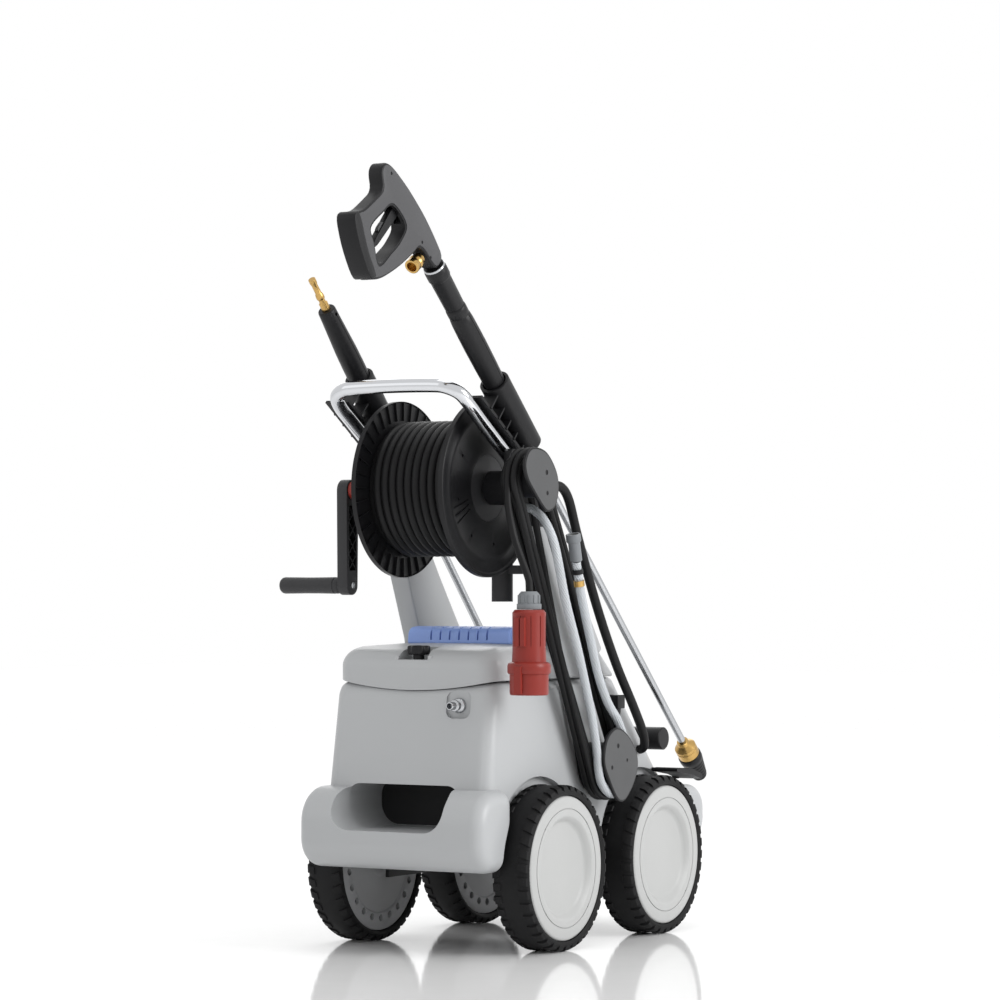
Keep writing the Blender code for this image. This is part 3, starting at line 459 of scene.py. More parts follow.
def cable_route():
    """Gland, round the lower drum, across to the upper one, four more turns, and down to the plug."""
    top_r, low_r = 0.0345, 0.0415
    passes = [(top_r, LANES[0], low_r, LANES[1]), (top_r, LANES[1], low_r, LANES[2]),
        (top_r, LANES[2], low_r + NEAR, LANES[2]), (top_r + NEAR, LANES[2], low_r + NEAR, LANES[1]),
        (top_r + NEAR, LANES[1], None, None)]
    route = [(0.162, 0.062, 0.354), (0.162, 0.062, 0.345), (0.1608, 0.0604, 0.333), (0.159, 0.0568, 0.319),
        (0.1572, 0.0515, 0.303)]
    cross = math.asin((top_r + low_r) / SPAN)
    leave = BACK - math.pi - cross
    first = swing(LOW, low_r, LANES[0], math.radians(-8.0), leave, 18)
    onto = BACK - cross
    second = swing(TOP, top_r, LANES[0], onto, onto + 0.05, 1)
    route += first + run(first[-1], second[0], 16)
    start = onto
    for upper, lane, lower, next_lane in passes:
        if lower is None:
            route += swing(TOP, upper, lane, start, math.pi, 18)
            break
        tilt = math.asin((lower - upper) / SPAN)
        front = BACK + math.pi - tilt
        over = swing(TOP, upper, lane, start, front, 20)
        next_upper = upper if next_lane != lane else upper + NEAR
        back_tilt = math.asin((lower - next_upper) / SPAN)
        under = swing(LOW, lower, next_lane, front - 2 * math.pi, BACK + back_tilt, 20)
        down = run(over[-1], under[0], 14)
        start = BACK + back_tilt
        top_again = swing(TOP, next_upper, next_lane, start, start + 0.05, 1)[0]
        route += over + down + under + run(under[-1], top_again, 14)
    route += smooth([route[-1], (0.169, -0.2945, 0.716), (0.172, -0.2975, 0.695), (0.178, -0.3, 0.67),
        (0.186, -0.3, 0.64), (0.196, -0.2965, 0.61), (0.2035, -0.2915, 0.585), (0.205, -0.29, 0.572),
        (0.205, -0.29, 0.54)], 5)[1:]
    return route


cable_points = cable_route()
cable = pipe("power_cable", cable_points, CABLE_R, LOOKS["cable_rubber"], "machine",
    ("cable_hank", "cable_lead", "cable_tail"), 5)
hose_points = smooth([(0.1457, -0.206, 0.693), (0.156, -0.206, 0.693), (0.17, -0.209, 0.687),
    (0.184, -0.211, 0.676), (0.195, -0.211, 0.659), (0.203, -0.208, 0.636), (0.2065, -0.201, 0.605),
    (0.206, -0.179, 0.549), (0.205, -0.14, 0.475), (0.199, -0.102, 0.413), (0.194, -0.072, 0.36),
    (0.1922, -0.054, 0.31), (0.1922, -0.042, 0.26), (0.1922, -0.001, 0.237), (0.1922, 0.041, 0.26),
    (0.1918, 0.047, 0.3), (0.1918, 0.02, 0.35), (0.196, -0.025, 0.385), (0.204, -0.07, 0.43),
    (0.209, -0.106, 0.49), (0.211, -0.139, 0.56), (0.2125, -0.156, 0.6086)], 5)
suction = pipe("suction_tube", hose_points, SUCTION_R, LOOKS["clear_hose"], "machine", ("suction_hose",), 6)

# plug, its gland nut and the coupling: pieces on the two cords
PLUG = at((0.205, -0.29, 0.5347))
nut = solid("plug_nut", lathe([(0, 0.0004), (0.0185, 0.0004), (0.019, 0.0012), (0.019, 0.0086),
    (0.0182, 0.0092), (0.0165, 0.01), (0.0165, 0.0225), (0.0158, 0.024), (0.012, 0.028), (0, 0.028)], 64),
    LOOKS["plug_grey"], PLUG)
for i in range(12):
    join(nut, block(0.0158, 0.0176, -0.0013, 0.0013, 0.01, 0.0225), rotation=(0, 0, math.radians(30 * i)))
done(nut, "machine", "plug_gland")
plug = solid("plug_shell", lathe([(0, 0.0), (0.0215, 0.0), (0.0228, -0.0006), (0.0258, -0.0046),
    (0.0255, -0.06), (0.0265, -0.0795), (0.0318, -0.082), (0.0332, -0.085), (0.0335, -0.087),
    (0.0335, -0.0955), (0.0325, -0.0978), (0.03, -0.099), (0.03, -0.1275), (0.0292, -0.1302),
    (0.0278, -0.131), (0.0265, -0.1306), (0.0265, -0.1), (0, -0.1)], 96), LOOKS["red_plastic"], PLUG)
join(plug, block(-0.0085, 0.0085, -0.03, -0.023, -0.056, -0.012))
join(plug, block(-0.006, 0.006, -0.0362, -0.031, -0.1285, -0.086))
for i in range(10):
    cut(plug, block(0.0246, 0.03, -0.001, 0.001, -0.056, -0.01), rotation=(0, 0, math.radians(36 * i + 18)))
done(plug, "machine", "plug_body")
pins = solid("plug_pins", disc(0.003, -0.124, -0.099, 24), LOOKS["brass"], PLUG, (0, -0.017, 0))
for i in range(1, 5):
    angle = math.radians(72 * i - 90)
    join(pins, disc(0.003, -0.124, -0.099, 24), (0.017 * math.cos(angle), 0.017 * math.sin(angle), 0))
done(pins, "machine")
COUPLING = at((0.2128, -0.1564, 0.6096), (math.radians(14), 0, 0))
coupling = done(solid("suction_coupling", lathe([(0, 0.0), (0.0083, 0.0), (0.0093, 0.001), (0.0095, 0.003),
    (0.0095, 0.0295), (0.0112, 0.0316), (0.0118, 0.033), (0.0118, 0.043), (0.0112, 0.044), (0.0085, 0.044),
    (0.0085, 0.03), (0, 0.03)], 64), LOOKS["plug_grey"], COUPLING), "machine", "hose_coupling")
done(solid("coupling_insert", lathe([(0.004, 0.0302), (0.007, 0.0302), (0.007, 0.04), (0.006, 0.0408),
    (0.004, 0.0408)], 48), LOOKS["brass"], COUPLING), "machine")
done(solid("hose_tie", lathe([(0.0071, -0.0205), (0.0084, -0.0205), (0.0088, -0.02), (0.0088, -0.0135),
    (0.0084, -0.013), (0.0071, -0.013)], 48), LOOKS["black_plastic"], COUPLING), "machine")
done(solid("hose_clamp", lathe([(0.0071, -0.04), (0.0086, -0.04), (0.0086, -0.031), (0.0071, -0.031)], 48),
    LOOKS["brass"], COUPLING), "machine")

pipe("supply_line", smooth([(0.1458, -0.167, 0.719), (0.158, -0.167, 0.719), (0.168, -0.161, 0.724),
    (0.176, -0.144, 0.728), (0.177, -0.118, 0.708), (0.176, -0.086, 0.648), (0.174, -0.022, 0.54),
    (0.172, 0.044, 0.448), (0.171, 0.104, 0.378), (0.169, 0.14, 0.336), (0.165, 0.156, 0.314),
    (0.159, 0.162, 0.304), (0.1512, 0.1635, 0.301)], 8), SUPPLY_R, LOOKS["cable_rubber"], "machine",
    ("supply_hose",))

# ---------------------------------------------------------------- tub and lid
TUB_TOP = 0.4235


def seam(offset=0.0):
    rise = (TUB_TOP - 0.4075) / TUB_X ** 2
    return [(x, 0.4075 + rise * x * x + offset) for x in (TUB_X * i / 12 for i in range(-17, 18))]


side = [(-0.31, 0.15), (-0.321, 0.256), (-0.298, TUB_TOP), (0.094, TUB_TOP), (0.236, 0.272), (0.29, 0.23),
    (0.29, 0.15)]
shell = prism(side, -TUB_X, TUB_X)
for vert in shell.verts:
    vert.co.x *= 1 + 0.022 * (TUB_TOP - vert.co.z) / TUB_X
tub = solid("tub", shell, LOOKS["shell_grey"])
bevel(tub, 0.024, 8, 50)
front = prism(rounded([(-0.374, 0.131, 0.045), (-0.374, 0.257, 0.055), (-0.272, 0.257, 0.024),
    (-0.272, 0.131, 0.03)], 12), -0.169, 0.169)
bevel(join(tub, front), 0.022, 6, 60)
rear = prism(rounded([(0.27, 0.138, 0.03), (0.27, 0.236, 0.024), (0.372, 0.236, 0.042),
    (0.372, 0.138, 0.042)], 10), -0.169, 0.169)
bevel(join(tub, rear), 0.02, 6, 60)
cut(tub, prism([(-0.296, 0.278), (-0.285, 0.398), (0.098, 0.398), (0.224, 0.268), (0.28, 0.224),
    (0.28, 0.1), (-0.213, 0.1), (-0.213, 0.278)], -0.1315, 0.1315))
cut(tub, block(-0.115, 0.115, -0.275, -0.11, 0.39, TUB_TOP + 0.02))
cut(tub, block(-0.125, 0.125, 0.27, 0.36, 0.08, 0.222))
mouth = rounded([(-0.106, 0.192, 0.034), (-0.106, 0.2625, 0.022), (0.098, 0.2625, 0.022),
    (0.098, 0.192, 0.034)], 10)
cut(tub, prism(mouth, -0.45, -0.222, "Y"))
recess = rounded([(0.064, 0.366, 0.012), (0.064, 0.408, 0.012), (0.108, 0.408, 0.012),
    (0.108, 0.366, 0.012)], 8)
cut(tub, prism(recess, -0.33, -0.2985, "Y"))
cut(tub, prism(seam() + [(0.22, 0.45), (-0.22, 0.45)], -0.34, -0.0975, "Y"))
for low, high in ((-0.22, -0.1365), (0.1365, 0.22)):
    for y in (-WHEEL_Y, WHEEL_Y):
        cut(tub, disc(0.142, low, high, 96), (0, y, WHEEL_Z), X_UP)
done(tub, "machine", "tub_shell", angle=32)
# a thin dark panel at the mouth's back wall: painted shade for the deep, shadowed cavity, not a real part
mouth_shade_panel = prism(rounded([(-0.105, 0.193, 0.033), (-0.105, 0.2615, 0.021), (0.097, 0.2615, 0.021),
    (0.097, 0.193, 0.033)], 10), -0.224, -0.2222, "Y")
done(solid("mouth_painted_shade", mouth_shade_panel, PAINTED_SHADE), "machine")

outline = rounded([(-TUB_X, -0.098, 0.004), (-TUB_X, -0.298, 0.034), (0.0, -0.304, 0.0),
    (TUB_X, -0.298, 0.034), (TUB_X, -0.098, 0.004)], 8)


def dome(y):
    """Height of the lid's top along its length."""
    return RIDGE_Z - (0.62 if y < RIDGE_Y else 0.85) * (y - RIDGE_Y) ** 2


def lid_mesh(radius=0.026):
    """The lid's shell: straight sides, a round shoulder, and a top that falls to the front and the back."""
    bm = bmesh.new()
    middle = -0.2
    levels = [(0.0, None)]
    for i in range(10):
        turn = math.radians(90 * i / 9)
        levels.append((radius * (1 - math.cos(turn)), radius * (1 - math.sin(turn))))
    for share in (0.3, 0.48, 0.66, 0.84):
        levels.append((share * TUB_X, 0.0))
    rings = []
    for depth, drop in levels:
        ring = []
        for a, b in outline:
            x = a * (1 - depth / TUB_X)
            y = middle + (b - middle) * (1 - min(depth, radius) / LID_HALF)
            if depth > radius:
                y = middle + (y - middle) * (1 - depth / TUB_X) / (1 - radius / TUB_X)
            ring.append(bm.verts.new((x, y, 0.375 if drop is None else dome(y) - drop)))
        rings.append(ring)
    count = len(outline)
    bm.faces.new(list(reversed(rings[0])))
    for low_ring, high_ring in zip(rings, rings[1:]):
        for i in range(count):
            k = (i + 1) % count
            bm.faces.new((low_ring[i], low_ring[k], high_ring[k], high_ring[i]))
    peak = bm.verts.new((0.0, middle, dome(middle)))
    for i in range(count):
        bm.faces.new((rings[-1][i], rings[-1][(i + 1) % count], peak))
    bmesh.ops.recalc_face_normals(bm, faces=bm.faces)
    return bm


lid = solid("pump_lid", lid_mesh(), LOOKS["shell_grey"])
cut(lid, prism(seam(0.0012) + [(0.22, 0.36), (-0.22, 0.36)], -0.34, -0.05, "Y"))
cut(lid, prism(rounded([(-0.14, -0.103, 0.004), (-0.14, -0.2925, 0.026), (0.14, -0.2925, 0.026),
    (0.14, -0.103, 0.004)], 4), 0.36, 0.457, "Z"))
join(lid, block(-0.034, 0.034, -0.298, -0.244, 0.446, 0.462))
cut(lid, prism([(-0.03, -0.33), (-0.022, -0.25), (0.022, -0.25), (0.03, -0.33)], 0.456, 0.5, "Z"))
cut(lid, lathe([(0, 0.4), (0.0068, 0.4), (0.0068, 0.47), (0, 0.47)], 32), (0, KNOB_Y, 0))
done(lid, "lid", "lid", angle=32)

knob = lathe([(0, 0.44), (0.0062, 0.44), (0.0062, 0.4564), (0.0088, 0.4564), (0.0088, 0.463),
    (0.0145, 0.4636), (0.0166, 0.4655), (0.0172, 0.468), (0.0172, 0.475), (0.0164, 0.477), (0.0145, 0.478),
    (0, 0.4784)], 96)
for vert in knob.verts:
    reach = math.hypot(vert.co.x, vert.co.y)
    if reach > 0.014:
        lobe = 1.0 + 0.075 * math.cos(8 * math.atan2(vert.co.y, vert.co.x))
        vert.co.x *= lobe
        vert.co.y *= lobe
done(solid("lid_star", knob, LOOKS["black_plastic"], None, (0, KNOB_Y, 0)), "star_knob", "lid_knob",
    angle=50)

grip = solid("lid_bar", prism(rounded([(-0.165, 0.4786, 0.003), (-0.162, 0.504, 0.014),
    (-0.124, 0.508, 0.014), (-0.12, 0.4786, 0.003)], 8), -0.095, 0.095), LOOKS["blue_grip"])
bevel(grip, 0.004, 4, 60)
for i in range(7):
    x = -0.052 + 0.0174 * i
    cut(grip, block(x, x + 0.0032, -0.168, -0.1592, 0.485, 0.52))
    cut(grip, block(x, x + 0.0032, -0.165, -0.115, 0.503, 0.52))
done(grip, "lid", "lid_grip")

tower = solid("tower", prism([(-0.097, TUB_TOP), (-0.097, 0.477), (0.03, 0.474), (0.0935, TUB_TOP)], -0.145,
    0.145), LOOKS["shell_grey"])
bevel(tower, 0.006, 4, 50)
cut(tower, prism([(-0.092, 0.41), (-0.092, 0.472), (0.026, 0.469), (0.08, TUB_TOP), (0.09, 0.41)], -0.14,
    0.14))
fin = [(-0.094, 0.47), (-0.0975, 0.486), (-0.139, 0.586), (-0.17, 0.665), (-0.094, 0.665), (-0.038, 0.586),
    (0.024, 0.504), (0.05, 0.469), (0.042, 0.462)]
for low, high in ((-0.1445, -0.11), (0.11, 0.1445)):
    bevel(join(tower, prism(fin, low, high)), 0.003, 3, 30)
done(tower, "machine", "rear_tower")

# ---------------------------------------------------------------- wheels
def tyre_mesh():
    """The rounded carcass; outwards is local +Z."""
    half = 0.032
    return lathe([(0.1142, -half + 0.003), (0.118, -half + 0.0006), (0.1215, -half + 0.0012),
        (0.1243, -half + 0.005), (0.127, -0.022), (0.1284, -0.013), (0.1289, 0.0), (0.1284, 0.013),
        (0.127, 0.022), (0.1243, half - 0.005), (0.1215, half - 0.0012), (0.118, half - 0.0006),
        (0.1142, half - 0.003)], 108)


def lugs_mesh():
    """Two staggered rows of lugs, one on each shoulder."""
    bm = bmesh.new()
    count = 38
    for i in range(count):
        for row, sign in ((0.0, 1), (0.5, -1)):
            angle = 2 * math.pi * (i + row) / count
            wide = 0.0066
            # radius, depth along the axle, half width, at the lug's five stations
            stations = [(0.1206, 0.0316, wide), (0.1268, 0.0298, wide), (0.1298, 0.0238, wide - 0.0006),
                (0.13, 0.0158, wide - 0.0012), (0.1282, 0.0146, wide - 0.0012)]
            rings = []
            for radius, depth, width in stations:
                pair = []
                for offset in (-width, width):
                    turn = angle + offset / radius + 0.05 * (depth / 0.032 - 0.5)
                    pair.append(bm.verts.new((radius * math.cos(turn), radius * math.sin(turn),
                        sign * depth)))
                rings.append(pair)
            inner = []
            for depth in (0.03, 0.0146):
                for offset in (-wide, wide):
                    turn = angle + offset / 0.119 + 0.05 * (depth / 0.032 - 0.5)
                    inner.append(bm.verts.new((0.119 * math.cos(turn), 0.119 * math.sin(turn),
                        sign * depth)))
            for a, b in zip(rings, rings[1:]):
                bm.faces.new((a[0], a[1], b[1], b[0]))
            bm.faces.new((inner[0], inner[1], rings[0][1], rings[0][0]))
            bm.faces.new((rings[-1][0], rings[-1][1], inner[3], inner[2]))
            bm.faces.new((inner[0], inner[2], inner[3], inner[1]))
            for k in (0, 1):
                bm.faces.new([inner[k]] + [r[k] for r in rings] + [inner[2 + k]])
    bmesh.ops.recalc_face_normals(bm, faces=bm.faces)
    return bm


def wheel(name, x_side, y):
    body = "wheel_" + name
    hub = at((x_side * WHEEL_X, y, WHEEL_Z), X_UP if x_side > 0 else X_DOWN)
    done(solid("carcass_" + name, tyre_mesh(), LOOKS["tyre_black"], hub), body, "tyre_" + name, angle=50)
    done(solid("lugs_" + name, lugs_mesh(), LOOKS["tyre_black"], hub), body, angle=30)
    cap = lathe([(0.0105, 0.015), (0.0, 0.015), (0.0, 0.0186), (0.069, 0.019), (0.0722, 0.0202),
        (0.075, 0.0232), (0.08, 0.0284), (0.0822, 0.0297), (0.0845, 0.03), (0.092, 0.03), (0.0922, 0.0286),
        (0.0936, 0.0286), (0.0938, 0.03), (0.108, 0.03), (0.1112, 0.0292), (0.113, 0.0268),
        (0.113, -0.0262), (0.1118, -0.027), (0.102, -0.027), (0.1, -0.0258), (0.0985, -0.0105),
        (0.0985, 0.015)], 128)
    rim = solid("rim_cap_" + name, cap, LOOKS["wheel_white"], hub)
    for i in range(4):
        cut(rim, disc(0.0016, 0.027, 0.032, 16), (0.0929 * math.cos(0.8 + i * 1.5708),
            0.0929 * math.sin(0.8 + i * 1.5708), 0))
    done(rim, body, "rim_" + name, angle=40)
    back = solid("rim_back_" + name, lathe([(0.0105, -0.0278), (0.024, -0.0278), (0.0262, -0.0266),
        (0.028, -0.0252), (0.084, -0.0252), (0.0856, -0.0266), (0.087, -0.0276), (0.11, -0.0276),
        (0.1128, -0.0268), (0.1128, -0.02), (0.0105, -0.02)], 96), WHEEL_BACK, hub)
    for i in range(22):
        angle = 2 * math.pi * i / 22
        cut(back, disc(0.0058, -0.03, -0.0204, 24), (0.0935 * math.cos(angle), 0.0935 * math.sin(angle), 0))
    done(back, body, angle=40)
    # a dark ring just behind the back plate: painted shade that makes the holes look dark
    done(solid("rim_shade_" + name, lathe([(0.086, -0.0204), (0.099, -0.0204), (0.099, -0.021),
        (0.086, -0.021)], 64), PAINTED_SHADE, hub), body)


for name, x_side, y in (("front_left", -1, -WHEEL_Y), ("front_right", 1, -WHEEL_Y),
        ("rear_left", -1, WHEEL_Y), ("rear_right", 1, WHEEL_Y)):
    wheel(name, x_side, y)

# ---------------------------------------------------------------- frame parts
leg = [(0.118, -0.197, 0.769), (0.118, -0.242, 0.798), (0.118, -0.29, 0.829), (0.118, -0.326, 0.853),
    (0.112, -0.344, 0.868), (0.094, -0.353, 0.877), (0.07, -0.355, 0.88)]
pipe("handle_tube", smooth(leg + [(0.0, -0.356, 0.881)] + [(-x, y, z) for x, y, z in reversed(leg)], 10),
    0.011, LOOKS["chrome_tube"], "machine", ("push_handle",), 10)
bar = solid("lifting_bar", lathe([(0, -0.137), (0.0175, -0.137), (0.019, -0.1355), (0.019, 0.1395),
    (0.0175, 0.141), (0, 0.141)], 64), LOOKS["black_plastic"], None, (0, 0.27, 0.315), X_UP)
for sign in (-1, 1):
    low, high = sorted((sign * 0.078, sign * 0.1))
    join(bar, prism([(0.2045, 0.311), (0.265, 0.326), (0.272, 0.31), (0.2215, 0.293)], low, high))
done(bar, "machine", "rear_bar")
done(solid("inlet_nipple", lathe([(0, 0.0), (0.0118, 0.0), (0.0118, 0.0045), (0.0108, 0.006),
    (0.0075, 0.008), (0.0075, 0.0125), (0.0092, 0.0142), (0.0095, 0.015), (0.0095, 0.018), (0.0088, 0.019),
    (0.0065, 0.02), (0.0065, 0.0295), (0.0058, 0.0308), (0.0045, 0.031), (0.0045, 0.01), (0, 0.01)], 48),
    LOOKS["steel"], None, (0.086, -0.2989, 0.386), Y_DOWN), "machine", "water_inlet")
pedal = solid("pedal_plate", prism(rounded([(0.205, 0.264, 0.002), (0.205, 0.27, 0.002),
    (0.262, 0.266, 0.003), (0.296, 0.256, 0.003), (0.296, 0.247, 0.003), (0.262, 0.256, 0.003)], 4), 0.152,
    0.2), LOOKS["black_plastic"])
join(pedal, disc(0.006, 0.1505, 0.16, 32), (0, 0.285, 0.2535), X_UP)
for i in range(4):
    join(pedal, block(0.155, 0.197, 0.214 + 0.012 * i, 0.217 + 0.012 * i, 0.264, 0.2698 - 0.0007 * i))
done(pedal, "pedal", "brake_pedal")

for name, sign in (("right", 1), ("left", -1)):
    def span(low, high):
        return sorted((sign * low, sign * high))
    shape = softened(rounded([(-0.17, 0.6654, 0.004), (-0.24, 0.705, 0.015), (-0.242, 0.79, 0.01),
        (-0.205, 0.776, 0.015), (-0.155, 0.735, 0.012), (-0.095, 0.6654, 0.004)], 5), 1)
    casting = solid("casting_" + name, prism(shape, *span(0.1305, 0.145)), LOOKS["black_plastic"])
    bevel(casting, 0.002, 3, 40)
    join(casting, block(*span(0.1115, 0.135), -0.164, -0.09, 0.6658, 0.676))
    bevel(join(casting, disc(0.027, *span(0.0865, 0.135), 64), (0, REEL_Y, REEL_Z), X_UP), 0.002, 3, 40)
    far = 0.11 if sign > 0 else 0.16
    cut(casting, disc(0.012, *span(0.08, far), 32), (0, REEL_Y, REEL_Z), X_UP)
    done(casting, "machine", "reel_bracket_" + name)

quiver = solid("quiver_tube", disc(0.017, 0.546, 0.612, 64), LOOKS["dark_grey_plastic"], None,
    (0.054, -0.116, 0))
join(quiver, block(0.0695, 0.1096, -0.123, -0.109, 0.59, 0.604))
cut(quiver, disc(0.0145, 0.53, 0.63, 64), (0.054, -0.116, 0))
done(quiver, "machine", "nozzle_quiver")

# ---------------------------------------------------------------- reel
REEL = at((0, REEL_Y, REEL_Z), X_UP)
for name, sign in (("right", 1), ("left", -1)):
    face = [(0.0524, 0.078), (0.1385, 0.078), (0.1405, 0.0755), (0.1405, 0.0835), (0.1395, 0.084),
        (0.135, 0.084), (0.133, 0.0815), (0.12, 0.0808), (0.118, 0.082), (0.11, 0.082), (0.108, 0.0808),
        (0.064, 0.0814), (0.06, 0.0822), (0.0524, 0.0822)]
    flange = solid("flange_" + name, lathe([(radius, sign * z) for radius, z in face], 128),
        LOOKS["black_plastic"], REEL)
    for i in range(8):
        angle = math.radians(45 * i + 12)
        cut(flange, disc(0.0026, *sorted((sign * 0.079, sign * 0.09)), 20),
            (0.09 * math.cos(angle), 0.09 * math.sin(angle), 0))
    for i in range(3):
        angle = math.radians(-72 + 7 * i if sign > 0 else 30 + 7 * i)
        cut(flange, block(0.064, 0.106, -0.0012, 0.0012, *sorted((sign * 0.0796, sign * 0.09))),
            rotation=(0, 0, angle))
    done(flange, "reel", "reel_flange_" + name, angle=40)
    ribs = solid("flange_ribs_" + name, block(0.1095, 0.139, -0.0007, 0.0007,
        *sorted((sign * 0.074, sign * 0.0785))), LOOKS["black_plastic"], REEL)
    for i in range(1, 36):
        join(ribs, block(0.1095, 0.139, -0.0007, 0.0007, *sorted((sign * 0.074, sign * 0.0785))),
            rotation=(0, 0, math.radians(10 * i)))
    done(ribs, "reel")
done(solid("reel_drum", lathe([(0, -0.1925), (0.011, -0.1925), (0.0115, -0.192), (0.0115, -0.082),
    (0.052, -0.082), (0.052, 0.082), (0.0115, 0.082), (0.0115, 0.1085), (0, 0.1085)], 96),
    LOOKS["dark_grey_plastic"], REEL), "reel", "reel_core")
turns, half = 9.9, 0.0703
wound = [(0.1008 * math.cos(2 * math.pi * turns * i / 475),
    0.1008 * math.sin(2 * math.pi * turns * i / 475), -half + 2 * half * i / 475) for i in range(476)]
pipe("hose_turns", wound, 0.0071, LOOKS["cable_rubber"], "reel", ("hose_coil",), 5, REEL)
done(solid("hose_under", lathe([(0.0524, -0.0774), (0.097, -0.0774), (0.097, 0.0774), (0.0524, 0.0774)],
    96), LOOKS["cable_rubber"], REEL), "reel")

arm = solid("arm", prism(arc(REEL_Y, REEL_Z, 0.0175, 0, 180, 20) + arc(REEL_Y, CRANK_Z, 0.0155, 180, 360,
    20), -0.192, -0.172), LOOKS["dark_grey_plastic"])
bevel(arm, 0.0015, 3, 50)
cut(arm, block(-0.186, -0.16, -0.218, -0.196, 0.596, 0.701))
cut(arm, disc(0.0119, -0.23, -0.15, 32), (0, REEL_Y, REEL_Z), X_UP)
join(arm, disc(0.0055, -0.257, -0.191, 32), (0, REEL_Y, CRANK_Z), X_UP)
done(arm, "reel", "crank_arm")
web = solid("arm_web", block(-0.1865, -0.1722, -0.2183, -0.217, 0.596, 0.701), LOOKS["black_plastic"])
join(web, block(-0.1865, -0.1722, -0.197, -0.1957, 0.596, 0.701))
for i in range(4):
    middle = 0.609 + 0.0262 * i
    for sign in (-1, 1):
        join(web, block(-0.1865, -0.1722, -0.0165, 0.0165, -0.001, 0.001), (0, REEL_Y, middle),
            (sign * math.radians(50), 0, 0))
done(web, "reel")
done(solid("arm_bush", lathe([(0.012, -0.1718), (0.015, -0.1718), (0.0155, -0.171), (0.0155, -0.153),
    (0.015, -0.152), (0.012, -0.152)], 64), LOOKS["red_plastic"], None, (0, REEL_Y, REEL_Z), X_UP), "reel")
done(solid("arm_pin", lathe([(0, -0.1722), (0.0046, -0.1722), (0.005, -0.1718), (0.005, -0.1708),
    (0, -0.17)], 32), LOOKS["steel"], None, (0, REEL_Y, CRANK_Z), X_UP), "reel")
done(solid("arm_grip", lathe([(0.006, -0.136), (0.0095, -0.136), (0.0112, -0.1352), (0.0128, -0.133),
    (0.0135, -0.13), (0.0133, -0.112), (0.013, -0.085), (0.0131, -0.06), (0.0135, -0.036), (0.0134, -0.033),
    (0.0124, -0.032), (0.0124, -0.0305), (0.0134, -0.0295), (0.0132, -0.026), (0.0118, -0.0215),
    (0.011, -0.0208), (0.006, -0.0208)], 64), LOOKS["dark_grey_plastic"], None, (-0.172, REEL_Y, CRANK_Z),
    X_UP), "crank_handle", "crank_grip")

# ---------------------------------------------------------------- lances
# the gun's side screws, as (v, u): beside the hand loop, and along the neck
SCREWS = ((0.003, -0.19), (0.124, -0.208), (0.146, -0.118), (0.014, -0.063), (0.013, -0.031))
RIGHT = at((0.125, -0.4373, 1.053), (math.radians(47.1) - math.pi, 0, 0))
LEFT = at((-0.145, -0.3263, 1.0085), (math.radians(42.8) - math.pi, 0, 0))
GUN = "gun_and_lance"
outer = [(0.003, -0.213), (-0.009, -0.196), (-0.018, -0.15), (-0.021, -0.119), (-0.023, -0.083),
    (-0.021, -0.042), (-0.016, -0.004), (0.016, -0.004), (0.019, -0.062), (0.047, -0.067), (0.089, -0.08),
    (0.137, -0.101), (0.16, -0.122), (0.148, -0.176), (0.128, -0.218), (0.11, -0.211), (0.096, -0.202),
    (0.066, -0.194), (0.036, -0.187), (0.021, -0.211)]
hole = [(0.034, -0.154), (0.065, -0.166), (0.102, -0.172), (0.112, -0.152), (0.125, -0.121),
    (0.088, -0.111), (0.058, -0.106), (0.03, -0.112)]
channel = [(0.04, -0.16), (0.04, -0.112), (0.014, -0.118), (0.006, -0.138), (0.012, -0.158)]
gun = solid("gun_body", prism(softened(outer), -0.0124, 0.0124), LOOKS["black_plastic"], RIGHT)
bevel(gun, 0.0035, 4, 60)
cut(gun, prism(smooth(hole, 5, True), -0.05, 0.05))
cut(gun, prism(channel, -0.0062, 0.0062))
done(gun, GUN, "gun_housing")
panel = solid("gun_panels", prism(softened(inset(outer, 0.0032)), -0.0132, 0.0132), LOOKS["gun_grey"],
    RIGHT)
bevel(panel, 0.0008, 2, 60)
cut(panel, prism(smooth(inset(hole, -0.003), 5, True), -0.05, 0.05))
cut(panel, prism([(-0.1, -0.3), (-0.1, 0.1), (0.3, 0.1), (0.3, -0.3)], -0.012, 0.012))
for v, u in SCREWS:
    cut(panel, disc(0.0026, -0.02, 0.02, 24), (0, v, u), X_UP)
done(panel, GUN)
heel = solid("gun_heel", prism(softened([(0.109, -0.214), (0.128, -0.22), (0.15, -0.177), (0.163, -0.124),
    (0.146, -0.114), (0.136, -0.16)], 2), -0.0165, 0.0165), LOOKS["black_plastic"], RIGHT)
bevel(heel, 0.0022, 3, 50)
done(heel, GUN)
spine = solid("gun_spine", prism(softened([(-0.0195, -0.112), (-0.0245, -0.083), (-0.0225, -0.042),
    (-0.018, -0.012), (-0.012, -0.012), (-0.012, -0.112)], 2), -0.0075, 0.0075), LOOKS["black_plastic"],
    RIGHT)
done(spine, GUN)
v0, u0 = 0.016, -0.134
PULL = at((0, v0, u0), (0, 0, 0), RIGHT)
bar_outline = [(0.01, -0.14), (0.017, -0.1265), (0.03, -0.1285), (0.07, -0.132), (0.108, -0.136),
    (0.107, -0.145), (0.07, -0.145), (0.03, -0.146)]
trigger = solid("trigger_bar", prism(softened([(a - v0, b - u0) for a, b in bar_outline]), -0.0055, 0.0055),
    LOOKS["black_plastic"], PULL)
bevel(trigger, 0.001, 3, 50)
cut(trigger, prism([(a - v0, b - u0 - 0.0008) for a, b in ((0.058, -0.146), (0.058, -0.1368),
    (0.082, -0.1395), (0.082, -0.1475))], -0.0032, 0.0032))
done(trigger, "trigger", "trigger")
latch = solid("latch_tab", prism(softened([(a - v0, b - u0) for a,
    b in ((0.06, -0.148), (0.0595, -0.14), (0.079, -0.1425), (0.08, -0.149))], 1), -0.0026, 0.0026),
    DISC_GREY, PULL)
done(latch, "latch", "safety_latch")

